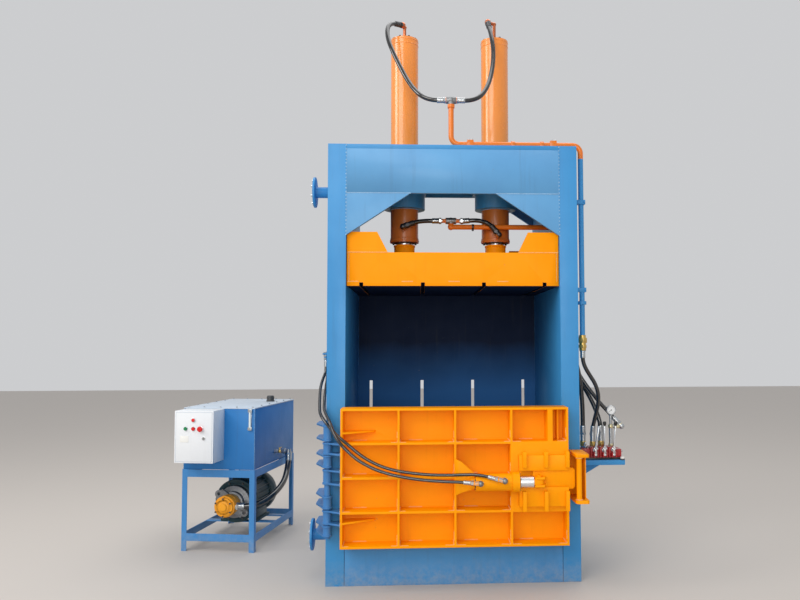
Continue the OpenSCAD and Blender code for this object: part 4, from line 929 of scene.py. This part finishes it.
rail.done("valve_rail", black_plastic, slot="black_plastic", bevel=0.8)
drain.turned([(0, 0), (26, 0), (30, 3), (30, 10), (26, 14), (0, 15)],
             (VALVE_END, 272, SHELF + 7), UP)
drain.done("drain_plug", white_plastic, slot="gauge_plastic")

# The loose levers don't all stand quite upright.
for x, label, lean in zip(SECTION_X, ("front", "middle", "rear"), (25, 0, 13)):
    stem, knob = (Shape(PRESS @ Matrix.Translation((x, 256, 780))) for _ in range(2))
    stem.rod((-8.6, 0, 0), (8.6, 0, 0), 18)
    for cheek in (-6.2, 2.2):
        stem.box((cheek, -9, 0), (cheek + 4, 9, 30))
    stem.box((-6.2, -9, 24), (6.2, 9, 40))
    stem.rod((-15, 0, 42), (15, 0, 42), 13, 16)
    stem.post(0, 0, 40, 56, 19, 6)
    foot, top = Vector((0, 0, 54)), Vector((lean, 0, 198))
    stem.rod(foot, top, 14, 16, 13)
    stem.done(f"lever_{label}_stem", bright_plate, f"lever_{label}", "zinc", bevel=0.8,
              replaces=[f"lever_{label}"])
    knob.turned([(0, -2), (12, -2), (14, 1), (20, 8), (24, 18), (23, 26), (15, 31),
                 (0, 32)], top, top - foot, 24)
    knob.done(f"lever_{label}_knob", black_plastic, f"lever_{label}", "black_plastic")

gauge_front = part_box("pressure_gauge")[0][1] * 1000
GAUGE = MM @ Matrix.Translation((SECTION_X[2], gauge_front + 27, 1083))
case, dial, ticks = (Shape(GAUGE) for _ in range(3))
case.turned([(0, 12), (50, 12), (60, 8), (63, 0), (63, -20), (68, -22), (68, -28), (65, -30),
             (59, -30), (58, -26), (0, -26)], MIDDLE, BACK, 64)
case.post(0, 0, -40, -28, 22, 6)
case.done("gauge_case", zinc, slot="zinc", replaces=["pressure_gauge"])
dial.rod((0, -27.4, 0), (0, -26, 0), 57, 64)
dial.done("gauge_dial", dial_white, slot="dial_white")
for i in range(31):
    a = math.radians(225 - i * 9)
    long, wide = (6, 0.9) if i % 5 == 0 else (3.2, 0.5)
    spot = Vector((math.cos(a), 0, math.sin(a))) * (26 - long / 2)
    ticks.box(spot + Vector((-long / 2, -27.9, -wide / 2)),
              spot + Vector((long / 2, -27.5, wide / 2)), Matrix.Rotation(-a, 3, "Y"))
needle = math.radians(218)
ticks.rod((0, -28.2, 0), (21 * math.cos(needle), -28.2, 21 * math.sin(needle)), 2.4, 6, 0.6)
ticks.rod((0, -29.2, 0), (0, -27.4, 0), 7, 16)
ticks.done("gauge_marks", dial_ink, slot="black_plastic")

# ---- power unit: cabinet ----

FACE = -185
CAB_X, CAB_Z, CAB_W, CAB_H = -534, 685, 298, 380
LAMP, START, STOP = (-388, 998), (-447, 935), (-388, 935)
MUSHROOM, LOCK = (-329, 935), (-307, 865)


def faced(shape, at, line, sides=40):
    """A lathe piece that stands out from the cabinet's door."""
    shape.turned(line, (at[0], FACE, at[1]), FORWARD, sides)


panel, edge_line, plate, hinges, bezels, lens = (Shape(UNIT) for _ in range(6))
panel.box((CAB_X + 12, FACE - 1.6, CAB_Z + 12),
          (CAB_X + CAB_W - 12, FACE, CAB_Z + CAB_H - 12))
panel.done("cabinet_door_panel", cabinet_white, "cabinet_door", "cabinet_paint", bevel=1.2)
left, right, low, high = CAB_X + 9, CAB_X + CAB_W - 9, CAB_Z + 9, CAB_Z + CAB_H - 9
for x in (left, right - 2.4):
    edge_line.box((x, FACE - 0.9, low), (x + 2.4, FACE - 0.1, high))
for z in (low, high - 2.4):
    edge_line.box((left + 2.4, FACE - 0.9, z), (right - 2.4, FACE - 0.1, z + 2.4))
edge_line.done("cabinet_door_edge", lid_pale, "cabinet_door", "cabinet_paint")
plate.box((-490, FACE - 3, 836), (-424, FACE - 1, 883))
plate.done("blank_plate", white_plastic, "cabinet_door", "gauge_plastic", bevel=0.6)
for z in (CAB_Z + 50, CAB_Z + CAB_H - 90):
    hinges.post(CAB_X - 3, -165.2, z, z + 40, 9, 16)
hinges.done("cabinet_hinges", zinc, "root", "zinc", bevel=0.6)
for at in (START, STOP):
    faced(bezels, at, [(26.8, 1), (33, 1), (34, 2), (33, 5.2), (30.5, 6.6), (27.6, 6.2),
                       (26.8, 4), (26.8, 1)])
faced(bezels, MUSHROOM, [(22.6, 1), (36, 1), (37, 2), (35, 5), (32, 6), (22.6, 6), (22.6, 1)])
faced(bezels, LAMP, [(0, 1), (33, 1), (34, 2), (33, 5.4), (29, 6.8), (0, 6.8)])
faced(bezels, LOCK, [(18.4, 1), (27, 1), (28, 2), (26.6, 4), (24.4, 4.6), (18.4, 4.6),
                     (18.4, 1)])
bezels.done("button_bezels", chrome, "cabinet_door", "chrome")
faced(lens, LAMP, [(0, 6.6), (25, 6.6), (25, 10), (23.5, 12), (19, 13.6), (10, 14.6),
                   (0, 14.9)])
lens.done("pilot_lens", lamp_red, "cabinet_door", "red_plastic", replaces=["pilot_lamp"])
FLUSH = [(0, -14), (21.8, -14), (21.8, 5), (25.6, 6), (26.2, 7.4), (26.2, 11), (24.6, 12.2),
         (12, 11.4), (0, 11.2)]
PALM = [(0, -14), (21.8, -14), (21.8, 14), (30, 15), (38, 19), (40.6, 23), (40, 26), (35, 28.6),
        (22, 30), (0, 30.4)]
for label, at, outline, colour, slot in (
        ("start", START, FLUSH, green_plastic, "green_plastic"),
        ("stop", STOP, FLUSH, red_plastic, "red_plastic"),
        ("mushroom", MUSHROOM, PALM, red_plastic, "red_plastic")):
    cap = Shape(UNIT)
    faced(cap, at, outline)
    cap.done(f"{label}_cap", colour, f"{label}_button", slot, replaces=[f"{label}_button"])
keyway = Shape(UNIT)
keyway.box((LOCK[0] - 1.2, FACE - 8.6, LOCK[1] - 6), (LOCK[0] + 1.2, FACE - 7.9, LOCK[1] + 6))
keyway.done("cabinet_keyway", dial_ink, "cabinet_lock", "black_plastic")

# ---- power unit: tank ----

LEG_X0, LEG_X1, TANK_Z, TANK_TOP = -560, 8, 610, 1065
GLASS_X = -31
gauge_ends, glass, gauge_bolts, lid_bolts, tank_welds, taps = (Shape(UNIT) for _ in range(6))
breather = Shape(UNIT @ Matrix.Translation((-112, 640, TANK_TOP)))
for low, high in ((906, 930), (1040, 1064)):
    gauge_ends.box((GLASS_X - 15, -13, low), (GLASS_X + 15, 5.8, high))
gauge_ends.box((GLASS_X - 10, -3, 928), (GLASS_X + 10, 5.8, 1042))
gauge_ends.done("level_gauge_ends", zinc, slot="zinc", bevel=1.5, replaces=["level_gauge"])
glass.post(GLASS_X, -5, 928, 1042, 17)
glass.done("level_gauge_tube", sight_glass, slot="gauge_plastic")
for z in (918, 1052):
    gauge_bolts.bolt((GLASS_X, -13, z), FORWARD, 12, 4)
gauge_bolts.done("level_gauge_bolts", zinc, slot="zinc")

lid_places = [(x, y) for x in (-530, -405, -276, -147, -22) for y in (26, 868)]
lid_places += [(x, y) for y in (194, 362, 530, 698) for x in (-534, -18)]
for x, y in lid_places:
    lid_bolts.bolt((x, y, TANK_TOP + 8), UP, 10, 6)
lid_bolts.done("lid_bolts", zinc, slot="zinc")
for outline in ([(0, -40), (49, -40), (49, 7.8), (66, 8), (70, 10), (70, 15), (60, 18.4)],
                [(60, 18.2), (58, 20), (58, 50), (54, 54), (44, 56), (0, 56.4)]):
    breather.turned(outline, MIDDLE, UP, 48)
for u, v in ring_points(24, 28.4, 0):
    breather.post(u, v, 22, 48, 4, 6)
breather.done("breather_cap", cap_grey, "filler_cap", "black_plastic", replaces=["filler_cap"])
for y in (6, 888):
    for x in (LEG_X0 + 6, LEG_X1 - 6):
        tank_welds.weld((x, y, TANK_Z + 4), (x, y, TANK_TOP - 4), 5, 6)
for x in (LEG_X0 + 4, LEG_X1 - 4):
    for z in (132, 608):
        for y in (44, 850):
            tank_welds.weld((x, y, z - 54), (x, y, z - 2), 5, 6)
tank_welds.done("tank_welds", weld_blue, slot="blue_paint")
taps.rod((36, 435, 690), (52, 435, 690), 30, 6)
taps.post(44, 435, 690, 716, 9, 12)
taps.box((38, 425, 714), (50, 472, 719))
taps.done("tank_tap", brass, slot="zinc", bevel=1)

# ---- power unit: pump and motor ----

SHAFT = UNIT @ Matrix.Translation((-276, 0, 307))
cover, grille, shields, motor_bolts, pump_face, port = (Shape(SHAFT) for _ in range(6))
cover.turned([(300, 690), (330, 692), (340, 700), (340, 786), (332, 800), (318, 806),
              (210, 808), (210, 806), (90, 806), (90, 809), (0, 810)], MIDDLE, BACK, 64)
cover.done("fan_cover", motor_teal, slot="motor_paint")
for ring in (110, 150, 190, 230, 270):
    grille.turned([(ring, 807), (ring + 6, 807), (ring + 6, 811), (ring, 811), (ring, 807)],
                  MIDDLE, BACK, 48)
for (u, v), (p, q) in zip(ring_points(12, 44, 0), ring_points(12, 150, 0)):
    grille.rod((u, 809, v), (p, 809, q), 5, 8)
grille.done("fan_grille", dark_steel, slot="motor_paint")
for low, high in ((340, 352), (366, 376)):
    shields.turned(band(280, low, high, 340, 4, 2), MIDDLE, BACK, 64)
shields.box((-76, 424, 190), (76, 566, 205))
shields.done("motor_shields", motor_teal, slot="motor_paint", bevel=1)
for u, v in ring_points(8, 146):
    motor_bolts.bolt((u, 340, v), FORWARD, 13, 8)
for x in (-62, 62):
    for y in (438, 552):
        motor_bolts.bolt((x, y, 205), UP, 7, 4)
for u, v in ring_points(6, 66):
    motor_bolts.rod((u, 84, v), (u, 92, v), 14, 6)
motor_bolts.done("motor_bolts", dark_steel, slot="zinc")
pump_face.turned([(0, 84), (50, 84), (58, 88), (64, 94), (86, 96), (92, 100), (120, 100),
                  (0, 101)], MIDDLE, BACK, 40)
pump_face.turned([(120, 168), (158, 170), (164, 174), (164, 180), (158, 184), (120, 186),
                  (120, 168)], MIDDLE, BACK, 48)
pump_face.done("pump_face", pump_yellow, slot="pump_paint", bevel=0.8)
for y in (134, 170):
    for z in (-20, 20):
        port.bolt((92, y, z), RIGHT, 9, 5)
port.done("pump_port_bolts", zinc, slot="zinc")

# ---- floor and light ----

bpy.ops.mesh.primitive_plane_add(size=40, location=(0, 0, 0))
floor = bpy.context.object
floor.name = "floor"
floor_finish = bpy.data.materials.new("studio_floor")
floor_finish.use_nodes = True
floor_shader = floor_finish.node_tree.nodes["Principled BSDF"]
floor_shader.inputs["Base Color"].default_value = srgb(198, 191, 184)
floor_shader.inputs["Roughness"].default_value = 0.62
floor.data.materials.append(floor_finish)


def soft_light(name, place, target, size, power, colour=(1, 1, 1)):
    data = bpy.data.lights.new(name, "AREA")
    data.shape = "DISK"
    data.size, data.energy, data.color = size, power, colour
    lamp = bpy.data.objects.new(name, data)
    scene.collection.objects.link(lamp)
    place = Vector(place)
    lamp.location = place
    lamp.rotation_euler = (Vector(target) - place).to_track_quat("-Z", "Y").to_euler()


soft_light("key", (-4.5, -7.5, 6.5), (0, -0.4, 1.6), 6.0, 345, (1, 0.98, 0.95))
soft_light("front", (-0.5, -9.5, 2.6), (0, 0, 1.0), 4.0, 190, (1, 0.99, 0.97))
soft_light("left", (-6.5, -2.0, 5.5), (0, 0, 3.0), 2.5, 120, (1, 0.98, 0.95))
soft_light("overhead", (0.5, 1.0, 8.0), (0, 0, 2), 6.0, 170)
world = bpy.data.worlds.new("studio")
scene.world = world
world.use_nodes = True
sky = world.node_tree.nodes["Background"].inputs
sky["Color"].default_value = srgb(214, 215, 217)
sky["Strength"].default_value = 0.9
scene.view_settings.view_transform = "Standard"
